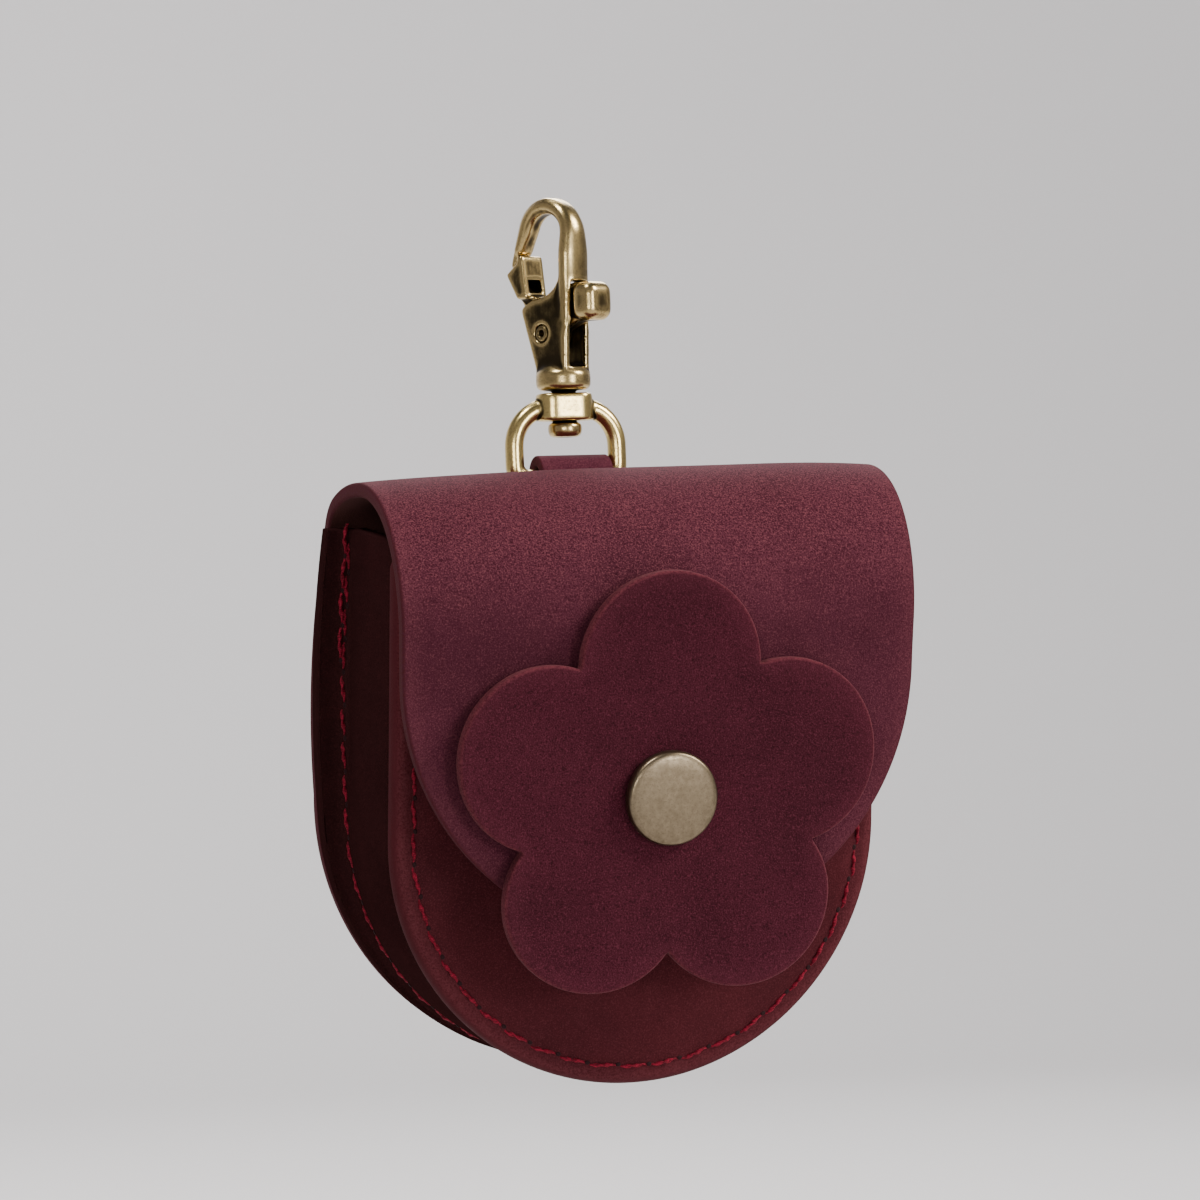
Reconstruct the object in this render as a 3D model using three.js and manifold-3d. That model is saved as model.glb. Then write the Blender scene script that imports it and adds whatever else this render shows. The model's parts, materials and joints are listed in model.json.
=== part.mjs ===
// A small leather pouch with a flower on its flap, hanging from a swivel clasp.
// Millimetres, +Z up, the pouch's front towards -Y. The origin is on the swivel's axis,
// where it meets the inside of the hook's crown.
import * as THREE from "three";
import { mergeVertices } from "three/addons/utils/BufferGeometryUtils.js";
import Module from "manifold-3d";

// Driving dimensions: leather
const LEATHER = 2; // thickness of the pouch's leather
const GAP = 0.3; // clearance between neighbouring pieces
const HANG_TILT = 8; // degrees that the pouch leans, face down, below the ring
const HANG_SIDE = 0.7; // how far the pouch hangs to one side of the ring's middle
const BAR_BELOW_CREST = 1.9; // from the crest's ends down to the centre of the ring's bar

// Driving dimensions: back, fold and flap, with y = 0 on the back's outer face and z = 0 at the crest's ends
const BACK_RADIUS = 38.7; // half the back's greatest width, and the radius of its round end
const BACK_CENTRE_Z = -44.4; // height of that round end's centre
const CREST_RISE = 1.2; // the crest's middle stands this far above its ends
const FOLD_HALF_WIDTH = 38; // half the leather's width where the back turns into the fold
const FOLD_TOP_RADIUS = 19.8; // outer radius of the fold's top and front
const FOLD_BACK_RADIUS = 7; // tighter outer radius where the back turns into the fold
const FLAP_FACE_Y = -34.5; // outer face of the flap where it hangs straight
const FLAP_RADIUS = 36.5; // half the flap's width, and the radius of its round end
const FLAP_CENTRE_Z = -23.9; // height of that round end's centre
const FLAP_STRAIGHT_TO_Z = -46; // the flap hangs straight down to here, then curls in
const FLAP_CURL = 1.6; // how far the flap's tip curls in
const FLAP_BOW = 1.2; // how far the side edges of fold and flap bend back from their middle
const BOW_BY = 0.3; // share of the fold over which that bend comes in
const END_FLAT = 2.4; // half width of the short straight edge that closes a round end

// Driving dimensions: front panel and gusset
const FRONT_RADIUS = 35.6; // half width of the front panel, and the radius of its round end
const FRONT_CENTRE_Z = -47.5;
const FRONT_TOP_Z = -8; // straight top edge, hidden under the flap
const FRONT_FACE_Y = -25; // front face at the panel's edge
const FRONT_DOME = 1.8; // how far the panel's middle stands forward of its edge
const FLANGE_IN = 6; // front flange's width behind the front panel
const BEND_RADIUS = 2.2; // outer radius of the gusset's bends
const MOUTH_BACK_Z = -9.7; // gusset's top edge at its back flange
const MOUTH_FRONT_Z = -6.8; // gusset's top edge along its wall
const MOUTH_RISE = 3; // depth over which the top edge climbs from one to the other

// Driving dimensions: flower and snap
const SNAP_Z = -40.8; // height of the snap's centre
const FLOWER_PETALS = 5;
const FLOWER_PETAL_RADIUS = 12.8;
const FLOWER_PETAL_CENTRE = 17.75; // from the flower's centre to a petal's centre
const CAP_RADIUS = 6.25;
const CAP_HEIGHT = 1.6;
const CAP_EDGE = 0.9; // round edge of the cap
const SHANK_RADIUS = 1.9;
const SOCKET_RADIUS = 4.6;
const SOCKET_HEIGHT = 2.2;
const STUD_RADIUS = 4.2;
const RIVET_HEIGHT = 1.2; // stud's flange inside the pouch

// Driving dimensions: tab on the ring's bar
const TAB_WIDTH = 10.6;
const TAB_LEATHER = 1.6;
const TAB_LENGTH = 24; // from the bar's centre down to the sewn ends
const TAB_JOINS = 8.5; // below the bar's centre, where the back leg meets the front one

// Driving dimensions: ring
const WIRE_RADIUS = 1.35;
const RING_HALF_WIDTH = 7.6; // to the wire's centre
const RING_SHOULDER_RADIUS = 5.4;
const RING_CORNER_RADIUS = 1.8;
const BAR_Z = -36.7; // centre of the ring's bottom bar
const EYE_TOP_Z = -24.8;
const EYE_HEIGHT = 3.9;
const EYE_WIDTH = 7.9;
const EYE_DEPTH = 5.2;
const EYE_CORNER = 2.2;

// Driving dimensions: clasp, with u from the gate to the spine and z up
const CLASP_TURN = -63; // degrees that the hook's plane is turned about the swivel's axis
const CLASP_THICKNESS = 5.2;
const CLASP_EDGE = 0.4; // worn-off edge of the casting
const CROWN_OUTER = { u: -0.9, z: -2.2, radius: 4.85 };
const CROWN_INNER = { u: -1.2, z: -2.858, radius: 3.1 };
const CROWN_SWEEP = 165; // degrees of the crown's arc, from the spine over to the nose
const NOSE_OUTER = { u: -7.8, z: -7.1 }; // the nose slants out and down to here
const NOSE_INNER = { u: -6.1, z: -5.8 }; // its end climbs to here, clear of the gate's way
const CHEEK_TOP_Z = -12.2;
const CHEEK_LEFT_U = -5.5;
const FOOT_HALF_WIDTH = 2.9;
const FOOT_Z = -21.7;
const SLOT_WIDTH = 3.2;
const SLOT_TOP_Z = -9.3;
const SLOT_BOTTOM_Z = -21.2;
const COLLAR_RADIUS = 3.85;
const COLLAR_TOP_Z = -21.5;
const COLLAR_BOTTOM_Z = -24.4;
const COLLAR_EDGE = 0.5;
const POST_RADIUS = 1.6;
const HEAD_RADIUS = 2.4;
const HEAD_BOTTOM_Z = -31;
const PIN = { u: -1.5, z: -16.4, radius: 1.1, bore: 0.5, boreDepth: 1.2 };
const PIN_CLEARANCE = 0.2;
const LEVER_WIDTH = 2.7;
const LEVER_EYE_RADIUS = 2.2;
const THUMB = { inner: 4.1, outer: 8, height: 5.4, width: 5.2, edge: 0.8 }; // the lever's pad
const GATE_WIDTH = 4.4;
const GATE_WALL = 0.9; // wall of the gate's channel
const GATE_DEPTH = 1.9; // depth of the channel at its foot
const GATE_LIP = 0.9; // height of the lip that bears on the nose's inside
const GATE_LIP_DEPTH = 1;
const GATE_OUT = 0.9; // how far the gate's foot stands out past the cheeks

// Facets
const ROUND_STEPS = 10; // rows over a quarter of a round end
const BACK_STEPS = 3; // rows up the straight of the back
const FOLD_STEPS = 18; // rows over the fold
const COLUMNS = 10; // facets across a leather wall
const ROUND_SIDES = 20; // sides of a turned metal piece
const WIRE_SIDES = 10;
const LENGTH_STEPS = 1200; // samples that measure the leather's middle line
const MERGE_DISTANCE = 1e-4;

const wasm = await Module();
wasm.setup();

// A closed geometry as a solid for joining and cutting.
function toSolid(geometry) {
  const bare = geometry.clone();
  bare.deleteAttribute("normal");
  bare.deleteAttribute("uv");
  const merged = mergeVertices(bare, MERGE_DISTANCE);
  const corners = merged.index.array;
  const kept = [];
  for (let i = 0; i < corners.length; i += 3) {
    const [a, b, c] = corners.slice(i, i + 3);
    if (a !== b && b !== c && c !== a) kept.push(a, b, c);
  }
  const mesh = new wasm.Mesh({
    numProp: 3,
    vertProperties: merged.attributes.position.array,
    triVerts: new Uint32Array(kept),
  });
  return new wasm.Manifold(mesh);
}

function toGeometry(solid) {
  const mesh = solid.getMesh();
  const geometry = new THREE.BufferGeometry();
  geometry.setAttribute("position", new THREE.BufferAttribute(mesh.vertProperties, 3));
  geometry.setIndex(new THREE.BufferAttribute(mesh.triVerts, 1));
  geometry.computeVertexNormals();
  return geometry;
}

function join(...geometries) {
  return toGeometry(geometries.map(toSolid).reduce((whole, piece) => whole.add(piece)));
}

function cut(geometry, ...tools) {
  return toGeometry(tools.map(toSolid).reduce((rest, tool) => rest.subtract(tool), toSolid(geometry)));
}

// Indexed geometry from flat lists of coordinates and corners.
function facetGeometry(positions, corners) {
  const geometry = new THREE.BufferGeometry();
  geometry.setAttribute("position", new THREE.Float32BufferAttribute(positions, 3));
  geometry.setIndex(corners);
  geometry.computeVertexNormals();
  return geometry;
}

// Closes rows of point pairs, one point on each face of a wall, into one solid.
// The outer face looks along the rows' direction crossed with the columns' direction.
function wallGeometry(rows) {
  const across = rows[0].length;
  const last = { row: rows.length - 1, column: across - 1 };
  const positions = ["outer", "inner"].flatMap((face) =>
    rows.flatMap((row) => row.flatMap((pair) => pair[face])),
  );
  const outer = (row, column) => row * across + column;
  const inner = (row, column) => (rows.length + row) * across + column;
  const corners = [];
  const quad = (a, b, c, d) => corners.push(a, b, c, a, c, d);
  for (let i = 0; i < last.row; i++) {
    for (let j = 0; j < last.column; j++) {
      quad(outer(i, j), outer(i + 1, j), outer(i + 1, j + 1), outer(i, j + 1));
      quad(inner(i, j), inner(i, j + 1), inner(i + 1, j + 1), inner(i + 1, j));
    }
    quad(outer(i, 0), inner(i, 0), inner(i + 1, 0), outer(i + 1, 0));
    const j = last.column;
    quad(outer(i, j), outer(i + 1, j), inner(i + 1, j), inner(i, j));
  }
  for (let j = 0; j < last.column; j++) {
    const i = last.row;
    quad(outer(0, j), outer(0, j + 1), inner(0, j + 1), inner(0, j));
    quad(outer(i, j), inner(i, j), inner(i, j + 1), outer(i, j + 1));
  }
  return facetGeometry(positions, corners);
}

// Sweeps a closed section, turning anticlockwise, through stations that place its points.
function sweptGeometry(section, stations) {
  const count = section.length;
  const positions = stations.flatMap((place) => section.flatMap((point) => place(point)));
  const corners = [];
  for (let s = 0; s + 1 < stations.length; s++) {
    for (let p = 0; p < count; p++) {
      const q = (p + 1) % count;
      const [a, b] = [s * count + p, s * count + q];
      corners.push(a, b, b + count, a, b + count, a + count);
    }
  }
  const end = (stations.length - 1) * count;
  for (const [a, b, c] of THREE.ShapeUtils.triangulateShape(section, [])) {
    corners.push(a, c, b);
    corners.push(end + a, end + b, end + c);
  }
  return facetGeometry(positions, corners);
}

// Half widths over a round end, from its short closing edge to its full width.
function roundEndRows(radius) {
  const startAngle = Math.acos(END_FLAT / radius);
  return Array.from({ length: ROUND_STEPS + 1 }, (_, step) => {
    const angle = startAngle * (1 - step / ROUND_STEPS);
    return { fromCentre: radius * Math.sin(angle), halfWidth: radius * Math.cos(angle) };
  });
}

// Middle line of the leather in the plane of depth and height: back, fold, flap.
function backFlapLine() {
  const half = LEATHER / 2;
  const top = { y: FLAP_FACE_Y + FOLD_TOP_RADIUS, z: CREST_RISE - FOLD_TOP_RADIUS };
  const apart = FOLD_TOP_RADIUS - FOLD_BACK_RADIUS;
  const backZ = top.z + Math.sqrt(apart ** 2 - (top.y + FOLD_BACK_RADIUS) ** 2);
  const meet = Math.atan2(backZ - top.z, -FOLD_BACK_RADIUS - top.y);
  const backRows = roundEndRows(BACK_RADIUS);
  const flapRows = roundEndRows(FLAP_RADIUS);
  const tipZ = FLAP_CENTRE_Z - flapRows[0].fromCentre;
  const flapY = FLAP_FACE_Y + half;
  const line = new THREE.Path();
  line.moveTo(-half, BACK_CENTRE_Z - backRows[0].fromCentre);
  line.lineTo(-half, backZ);
  line.absarc(-FOLD_BACK_RADIUS, backZ, FOLD_BACK_RADIUS - half, 0, meet, false);
  line.absarc(top.y, top.z, FOLD_TOP_RADIUS - half, meet, Math.PI, false);
  line.lineTo(flapY, FLAP_STRAIGHT_TO_Z);
  line.quadraticCurveTo(flapY, (FLAP_STRAIGHT_TO_Z + tipZ) / 2, flapY + FLAP_CURL, tipZ);
  line.arcLengthDivisions = LENGTH_STEPS;
  return line;
}

// Rows along the back, fold and flap: where each lies on the middle line, and half its width.
function backFlapRows(line) {
  const length = line.getLength();
  const backEnd = roundEndRows(BACK_RADIUS);
  const flapEnd = roundEndRows(FLAP_RADIUS);
  const back = backEnd.map((row) => ({
    along: backEnd[0].fromCentre - row.fromCentre,
    halfWidth: row.halfWidth,
    bow: 0,
  }));
  const flap = flapEnd.map((row) => ({
    along: length - flapEnd[0].fromCentre + row.fromCentre,
    halfWidth: row.halfWidth,
    bow: FLAP_BOW,
  }));
  const widest = back.at(-1);
  const fold = { along: line.curves[0].getLength(), halfWidth: FOLD_HALF_WIDTH };
  const hang = flap.at(-1);
  const rising = Array.from({ length: BACK_STEPS }, (_, step) => ({
    along: THREE.MathUtils.lerp(widest.along, fold.along, (step + 1) / BACK_STEPS),
    halfWidth: THREE.MathUtils.lerp(widest.halfWidth, fold.halfWidth, (step + 1) / BACK_STEPS),
    bow: 0,
  }));
  const falling = Array.from({ length: FOLD_STEPS - 1 }, (_, step) => {
    const share = (step + 1) / FOLD_STEPS;
    return {
      along: THREE.MathUtils.lerp(fold.along, hang.along, share),
      halfWidth: THREE.MathUtils.lerp(fold.halfWidth, hang.halfWidth, share),
      bow: FLAP_BOW * THREE.MathUtils.smoothstep(share, 0, BOW_BY),
    };
  });
  return [...back, ...rising, ...falling, ...flap.reverse()];
}

function columnShares() {
  return Array.from({ length: COLUMNS + 1 }, (_, column) => (2 * column) / COLUMNS - 1);
}

function snapHole(fromY, toY) {
  const hole = new THREE.CylinderGeometry(SHANK_RADIUS + GAP, SHANK_RADIUS + GAP, toY - fromY, ROUND_SIDES);
  return hole.translate(0, (fromY + toY) / 2, SNAP_Z);
}

function backFlapGeometry() {
  const line = backFlapLine();
  const length = line.getLength();
  const rows = backFlapRows(line).map(({ along, halfWidth, bow }) => {
    const share = THREE.MathUtils.clamp(along / length, 0, 1);
    const at = line.getPointAt(share);
    const ahead = line.getTangentAt(share);
    const normal = { y: ahead.y, z: -ahead.x };
    const onFace = (column, side) => {
      const reach = side * (LEATHER / 2) - bow * column ** 2;
      return [column * halfWidth, at.x + normal.y * reach, at.y + normal.z * reach];
    };
    return columnShares().map((column) => ({ outer: onFace(column, 1), inner: onFace(column, -1) }));
  });
  return cut(wallGeometry(rows), snapHole(FLAP_FACE_Y - LEATHER, FLAP_FACE_Y + 2 * LEATHER));
}

// How far the front panel stands forward of its edge.
function frontDome(x, z) {
  const fromAxis = Math.hypot(x, Math.min(0, z - FRONT_CENTRE_Z));
  return FRONT_DOME * (1 - Math.min(1, (fromAxis / FRONT_RADIUS) ** 2));
}

function frontPanelGeometry() {
  const straight = Array.from({ length: COLUMNS / 2 }, (_, step) => ({
    z: THREE.MathUtils.lerp(FRONT_TOP_Z, FRONT_CENTRE_Z, step / (COLUMNS / 2)),
    halfWidth: FRONT_RADIUS,
  }));
  const round = roundEndRows(FRONT_RADIUS).map((row) => ({
    z: FRONT_CENTRE_Z - row.fromCentre,
    halfWidth: row.halfWidth,
  }));
  const rows = [...straight, ...round.reverse()].map(({ z, halfWidth }) =>
    columnShares().map((column) => {
      const x = column * halfWidth;
      const faceY = FRONT_FACE_Y - frontDome(x, z);
      return { outer: [x, faceY, z], inner: [x, faceY + LEATHER, z] };
    }),
  );
  const middleY = FRONT_FACE_Y - FRONT_DOME;
  return cut(wallGeometry(rows), snapHole(middleY - LEATHER, middleY + 2 * LEATHER));
}

// Section of the gusset: out from its wall's outer face, and depth. It turns anticlockwise.
// The back flange reaches 1 out, and each station stretches it to the back's own edge.
function gussetSection() {
  const rear = -LEATHER - GAP;
  const front = FRONT_FACE_Y + LEATHER + GAP;
  const inside = BEND_RADIUS - LEATHER;
  const section = new THREE.Shape();
  section.moveTo(1, rear);
  section.absarc(-LEATHER + BEND_RADIUS, rear - BEND_RADIUS, BEND_RADIUS, Math.PI / 2, Math.PI, false);
  section.lineTo(-LEATHER, front + BEND_RADIUS);
  section.lineTo(-BEND_RADIUS, front + LEATHER);
  section.lineTo(-FLANGE_IN, front + LEATHER);
  section.lineTo(-FLANGE_IN, front);
  section.absarc(-BEND_RADIUS, front + BEND_RADIUS, BEND_RADIUS, -Math.PI / 2, 0, false);
  section.lineTo(0, rear - LEATHER - inside);
  section.lineTo(inside, rear - LEATHER);
  section.lineTo(1, rear - LEATHER);
  const bendSteps = 2;
  return section.extractPoints(bendSteps).shape;
}

function mouthHeight(y) {
  const rise = THREE.MathUtils.clamp((-2 * LEATHER - GAP - y) / MOUTH_RISE, 0, 1);
  return THREE.MathUtils.lerp(MOUTH_BACK_Z, MOUTH_FRONT_Z, rise);
}

// From the round end's centre of the front panel out to the back's edge, at an angle.
function backEdgeReach(angle) {
  const rise = BACK_CENTRE_Z - FRONT_CENTRE_Z;
  return rise * Math.sin(angle) + Math.sqrt(BACK_RADIUS ** 2 - (rise * Math.cos(angle)) ** 2);
}

function gussetGeometry() {
  const outFor = (point, edge) => FRONT_RADIUS + (point.x > 0 ? point.x * (edge - FRONT_RADIUS) : point.x);
  const mouth = (side) => (point) => [
    side * outFor(point, FOLD_HALF_WIDTH),
    point.y,
    mouthHeight(point.y),
  ];
  const steps = 2 * ROUND_STEPS;
  const round = Array.from({ length: steps + 1 }, (_, step) => {
    const angle = Math.PI * (1 + step / steps);
    const edge = backEdgeReach(angle);
    return (point) => [
      outFor(point, edge) * Math.cos(angle),
      point.y,
      FRONT_CENTRE_Z + outFor(point, edge) * Math.sin(angle),
    ];
  });
  return sweptGeometry(gussetSection(), [mouth(-1), ...round, mouth(1)]);
}

// The tab's middle line, from its front end up, round the bar and down, in depth and height.
// The bar's centre is at y = 0 and z = 0.
function tabLine() {
  const loop = WIRE_RADIUS + GAP + TAB_LEATHER / 2;
  const backLeg = -loop + TAB_LEATHER + GAP;
  const line = new THREE.Path();
  line.moveTo(-loop, -TAB_LENGTH);
  line.lineTo(-loop, 0);
  line.absarc(0, 0, loop, Math.PI, 0, true);
  line.bezierCurveTo(loop, -TAB_JOINS / 2, backLeg, -TAB_JOINS / 2, backLeg, -TAB_JOINS);
  line.lineTo(backLeg, -TAB_LENGTH);
  return line;
}

// Outline of a strip of even thickness along a line.
function stripShape(line, thickness, steps) {
  const sides = [1, -1].map((side) =>
    Array.from({ length: steps + 1 }, (_, step) => {
      const at = line.getPointAt(step / steps);
      const ahead = line.getTangentAt(step / steps);
      const reach = (side * thickness) / 2;
      return new THREE.Vector2(at.x + ahead.y * reach, at.y - ahead.x * reach);
    }),
  );
  return new THREE.Shape([...sides[0], ...sides[1].reverse()]);
}

function ringTabGeometry() {
  const tabSteps = 48;
  const shape = stripShape(tabLine(), TAB_LEATHER, tabSteps);
  const geometry = new THREE.ExtrudeGeometry(shape, { depth: TAB_WIDTH, bevelEnabled: false, steps: 1 });
  const across = new THREE.Vector3(1, 0, 0);
  const depth = new THREE.Vector3(0, 1, 0);
  const up = new THREE.Vector3(0, 0, 1);
  geometry.translate(0, 0, -TAB_WIDTH / 2);
  return geometry.applyMatrix4(new THREE.Matrix4().makeBasis(depth, up, across));
}

// Depths of the stack that the snap holds, from the flap forward and back.
const flowerBackY = FLAP_FACE_Y - GAP;
const flowerFaceY = flowerBackY - LEATHER;
const capBackY = flowerFaceY - GAP;
const capFaceY = capBackY - CAP_HEIGHT;
const socketFrontY = FLAP_FACE_Y + LEATHER + GAP;
const socketBackY = socketFrontY + SOCKET_HEIGHT;
const studFrontY = socketBackY + GAP;
const panelFaceY = FRONT_FACE_Y - FRONT_DOME;

function flowerGeometry() {
  const turn = (2 * Math.PI) / FLOWER_PETALS;
  const half = turn / 2;
  const apart = FLOWER_PETAL_CENTRE * Math.sin(half);
  const notch = FLOWER_PETAL_CENTRE * Math.cos(half) + Math.sqrt(FLOWER_PETAL_RADIUS ** 2 - apart ** 2);
  const sweep = Math.atan2(notch * Math.sin(half), notch * Math.cos(half) - FLOWER_PETAL_CENTRE);
  const shape = new THREE.Shape();
  for (let petal = 0; petal < FLOWER_PETALS; petal++) {
    const angle = Math.PI / 2 + petal * turn;
    const x = FLOWER_PETAL_CENTRE * Math.cos(angle);
    const y = FLOWER_PETAL_CENTRE * Math.sin(angle);
    shape.absarc(x, y, FLOWER_PETAL_RADIUS, angle - sweep, angle + sweep, false);
  }
  shape.holes.push(new THREE.Path().absarc(0, 0, SHANK_RADIUS + GAP, 0, 2 * Math.PI, true));
  const options = { depth: LEATHER, bevelEnabled: false, curveSegments: ROUND_STEPS };
  const geometry = new THREE.ExtrudeGeometry(shape, options);
  return geometry.rotateX(Math.PI / 2).translate(0, flowerBackY, SNAP_Z);
}

// A turned piece about the depth axis, from its profile of radius and depth, front to back.
function turnedGeometry(profile) {
  const points = profile.map(([radius, y]) => new THREE.Vector2(radius, y));
  return new THREE.LatheGeometry(points, ROUND_SIDES);
}

function snapCapGeometry() {
  const edge = CAP_EDGE;
  const profile = [
    [0, capFaceY],
    [CAP_RADIUS - 2 * edge, capFaceY + edge / 4],
    [CAP_RADIUS - edge / 3, capFaceY + edge / 2],
    [CAP_RADIUS, capFaceY + edge],
    [CAP_RADIUS, capBackY],
    [SHANK_RADIUS, capBackY],
    [SHANK_RADIUS, socketFrontY],
    [SOCKET_RADIUS, socketFrontY],
    [SOCKET_RADIUS, socketBackY],
    [0, socketBackY],
  ];
  return turnedGeometry(profile).translate(0, 0, SNAP_Z);
}

function snapStudGeometry() {
  const rivetFrontY = panelFaceY + LEATHER + GAP;
  const profile = [
    [0, studFrontY],
    [STUD_RADIUS, studFrontY],
    [STUD_RADIUS, panelFaceY - GAP],
    [SHANK_RADIUS, panelFaceY - GAP],
    [SHANK_RADIUS, rivetFrontY],
    [SOCKET_RADIUS, rivetFrontY],
    [SOCKET_RADIUS, rivetFrontY + RIVET_HEIGHT],
    [0, rivetFrontY + RIVET_HEIGHT],
  ];
  return turnedGeometry(profile).translate(0, 0, SNAP_Z);
}

// The wire's middle line, from the eye round by the bar and back to the eye.
function ringCurve() {
  const eyeZ = EYE_TOP_Z - EYE_HEIGHT / 2;
  const shoulderU = RING_HALF_WIDTH - RING_SHOULDER_RADIUS;
  const shoulderZ = eyeZ - RING_SHOULDER_RADIUS;
  const cornerU = RING_HALF_WIDTH - RING_CORNER_RADIUS;
  const cornerZ = BAR_Z + RING_CORNER_RADIUS;
  const quarter = Math.PI / 2;
  const line = new THREE.Path();
  line.moveTo(0, eyeZ);
  line.absarc(shoulderU, shoulderZ, RING_SHOULDER_RADIUS, quarter, 0, true);
  line.absarc(cornerU, cornerZ, RING_CORNER_RADIUS, 0, -quarter, true);
  line.absarc(-cornerU, cornerZ, RING_CORNER_RADIUS, -quarter, -2 * quarter, true);
  line.absarc(-shoulderU, shoulderZ, RING_SHOULDER_RADIUS, 2 * quarter, quarter, true);
  const wireSteps = 44;
  const points = line.getSpacedPoints(wireSteps).map((point) => new THREE.Vector3(point.x, 0, point.y));
  return { curve: new THREE.CatmullRomCurve3(points), steps: wireSteps };
}

// A rectangle with round corners about its own centre.
function roundedRectangle(width, height, corner) {
  const [x, y] = [width / 2 - corner, height / 2 - corner];
  const quarter = Math.PI / 2;
  const shape = new THREE.Shape();
  const centres = [[x, y], [-x, y], [-x, -y], [x, -y]];
  centres.forEach(([cx, cy], turn) => {
    shape.absarc(cx, cy, corner, turn * quarter, (turn + 1) * quarter, false);
  });
  return shape;
}

function swivelRingGeometry() {
  const { curve, steps } = ringCurve();
  const section = new THREE.Shape().absarc(0, 0, WIRE_RADIUS, 0, 2 * Math.PI, false);
  const wireOptions = { steps, extrudePath: curve, curveSegments: WIRE_SIDES / 2 };
  const wire = new THREE.ExtrudeGeometry(section, wireOptions);
  const eyeShape = roundedRectangle(EYE_WIDTH, EYE_DEPTH, EYE_CORNER);
  const eyeOptions = { depth: EYE_HEIGHT, bevelEnabled: false, curveSegments: 4 };
  const eye = new THREE.ExtrudeGeometry(eyeShape, eyeOptions).translate(0, 0, EYE_TOP_Z - EYE_HEIGHT);
  const boreRadius = POST_RADIUS + GAP;
  const bore = new THREE.CylinderGeometry(boreRadius, boreRadius, 3 * EYE_HEIGHT, ROUND_SIDES);
  bore.rotateX(Math.PI / 2).translate(0, 0, EYE_TOP_Z - EYE_HEIGHT / 2);
  return cut(join(wire, eye), bore);
}

// A flat outline in the hook's plane as a plate of even width about that plane.
function plateGeometry(shape, width, edge, curveSegments) {
  const options = {
    depth: width - 2 * edge,
    bevelEnabled: edge > 0,
    bevelThickness: edge,
    bevelSize: edge,
    bevelOffset: -edge,
    bevelSegments: 1,
    curveSegments,
  };
  const geometry = new THREE.ExtrudeGeometry(shape, options);
  return geometry.translate(0, 0, -width / 2 + edge).rotateX(Math.PI / 2);
}

function shapeThrough(points) {
  return new THREE.Shape(points.map(([u, z]) => new THREE.Vector2(u, z)));
}

// Outline of the hook and its cheeks, from the foot up the spine, over the crown and down the nose.
function hookShape() {
  const spineInner = CROWN_INNER.u + CROWN_INNER.radius;
  const sweep = THREE.MathUtils.degToRad(CROWN_SWEEP);
  const corner = 0.7;
  const cheekTop = CHEEK_TOP_Z + corner;
  const shape = new THREE.Shape();
  shape.moveTo(-FOOT_HALF_WIDTH, FOOT_Z);
  shape.lineTo(FOOT_HALF_WIDTH, FOOT_Z);
  shape.absarc(CROWN_OUTER.u, CROWN_OUTER.z, CROWN_OUTER.radius, 0, sweep, false);
  shape.lineTo(NOSE_OUTER.u, NOSE_OUTER.z + corner);
  shape.lineTo(NOSE_OUTER.u + corner / 2, NOSE_OUTER.z);
  shape.lineTo(NOSE_INNER.u, NOSE_INNER.z);
  shape.absarc(CROWN_INNER.u, CROWN_INNER.z, CROWN_INNER.radius, sweep, 0, true);
  shape.lineTo(spineInner, NOSE_OUTER.z);
  shape.quadraticCurveTo(spineInner, cheekTop, CROWN_INNER.u - CROWN_INNER.radius / 2, cheekTop);
  shape.lineTo(CHEEK_LEFT_U + corner, CHEEK_TOP_Z);
  shape.lineTo(CHEEK_LEFT_U, CHEEK_TOP_Z - corner);
  return shape;
}

// A cylinder across the hook's plane at the lever's pin.
function pinHole(radius) {
  const hole = new THREE.CylinderGeometry(radius, radius, 2 * CLASP_THICKNESS, ROUND_SIDES);
  return hole.translate(PIN.u, 0, PIN.z);
}

function claspBodyGeometry() {
  const hook = plateGeometry(hookShape(), CLASP_THICKNESS, CLASP_EDGE, ROUND_SIDES / 2);
  const headTopZ = EYE_TOP_Z - EYE_HEIGHT - GAP;
  const profile = [
    [0, HEAD_BOTTOM_Z],
    [HEAD_RADIUS - COLLAR_EDGE, HEAD_BOTTOM_Z],
    [HEAD_RADIUS, HEAD_BOTTOM_Z + COLLAR_EDGE],
    [HEAD_RADIUS, headTopZ],
    [POST_RADIUS, headTopZ],
    [POST_RADIUS, COLLAR_BOTTOM_Z],
    [COLLAR_RADIUS - COLLAR_EDGE, COLLAR_BOTTOM_Z],
    [COLLAR_RADIUS, COLLAR_BOTTOM_Z + COLLAR_EDGE],
    [COLLAR_RADIUS, COLLAR_TOP_Z - COLLAR_EDGE],
    [COLLAR_RADIUS - COLLAR_EDGE, COLLAR_TOP_Z],
    [0, COLLAR_TOP_Z],
  ];
  const foot = turnedGeometry(profile).rotateX(Math.PI / 2);
  const slotReach = 4 * CLASP_THICKNESS;
  const slot = new THREE.BoxGeometry(slotReach, SLOT_WIDTH, SLOT_TOP_Z - SLOT_BOTTOM_Z);
  slot.translate(0, 0, (SLOT_TOP_Z + SLOT_BOTTOM_Z) / 2);
  return cut(join(hook, foot), slot, pinHole(PIN.radius + PIN_CLEARANCE));
}

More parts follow.
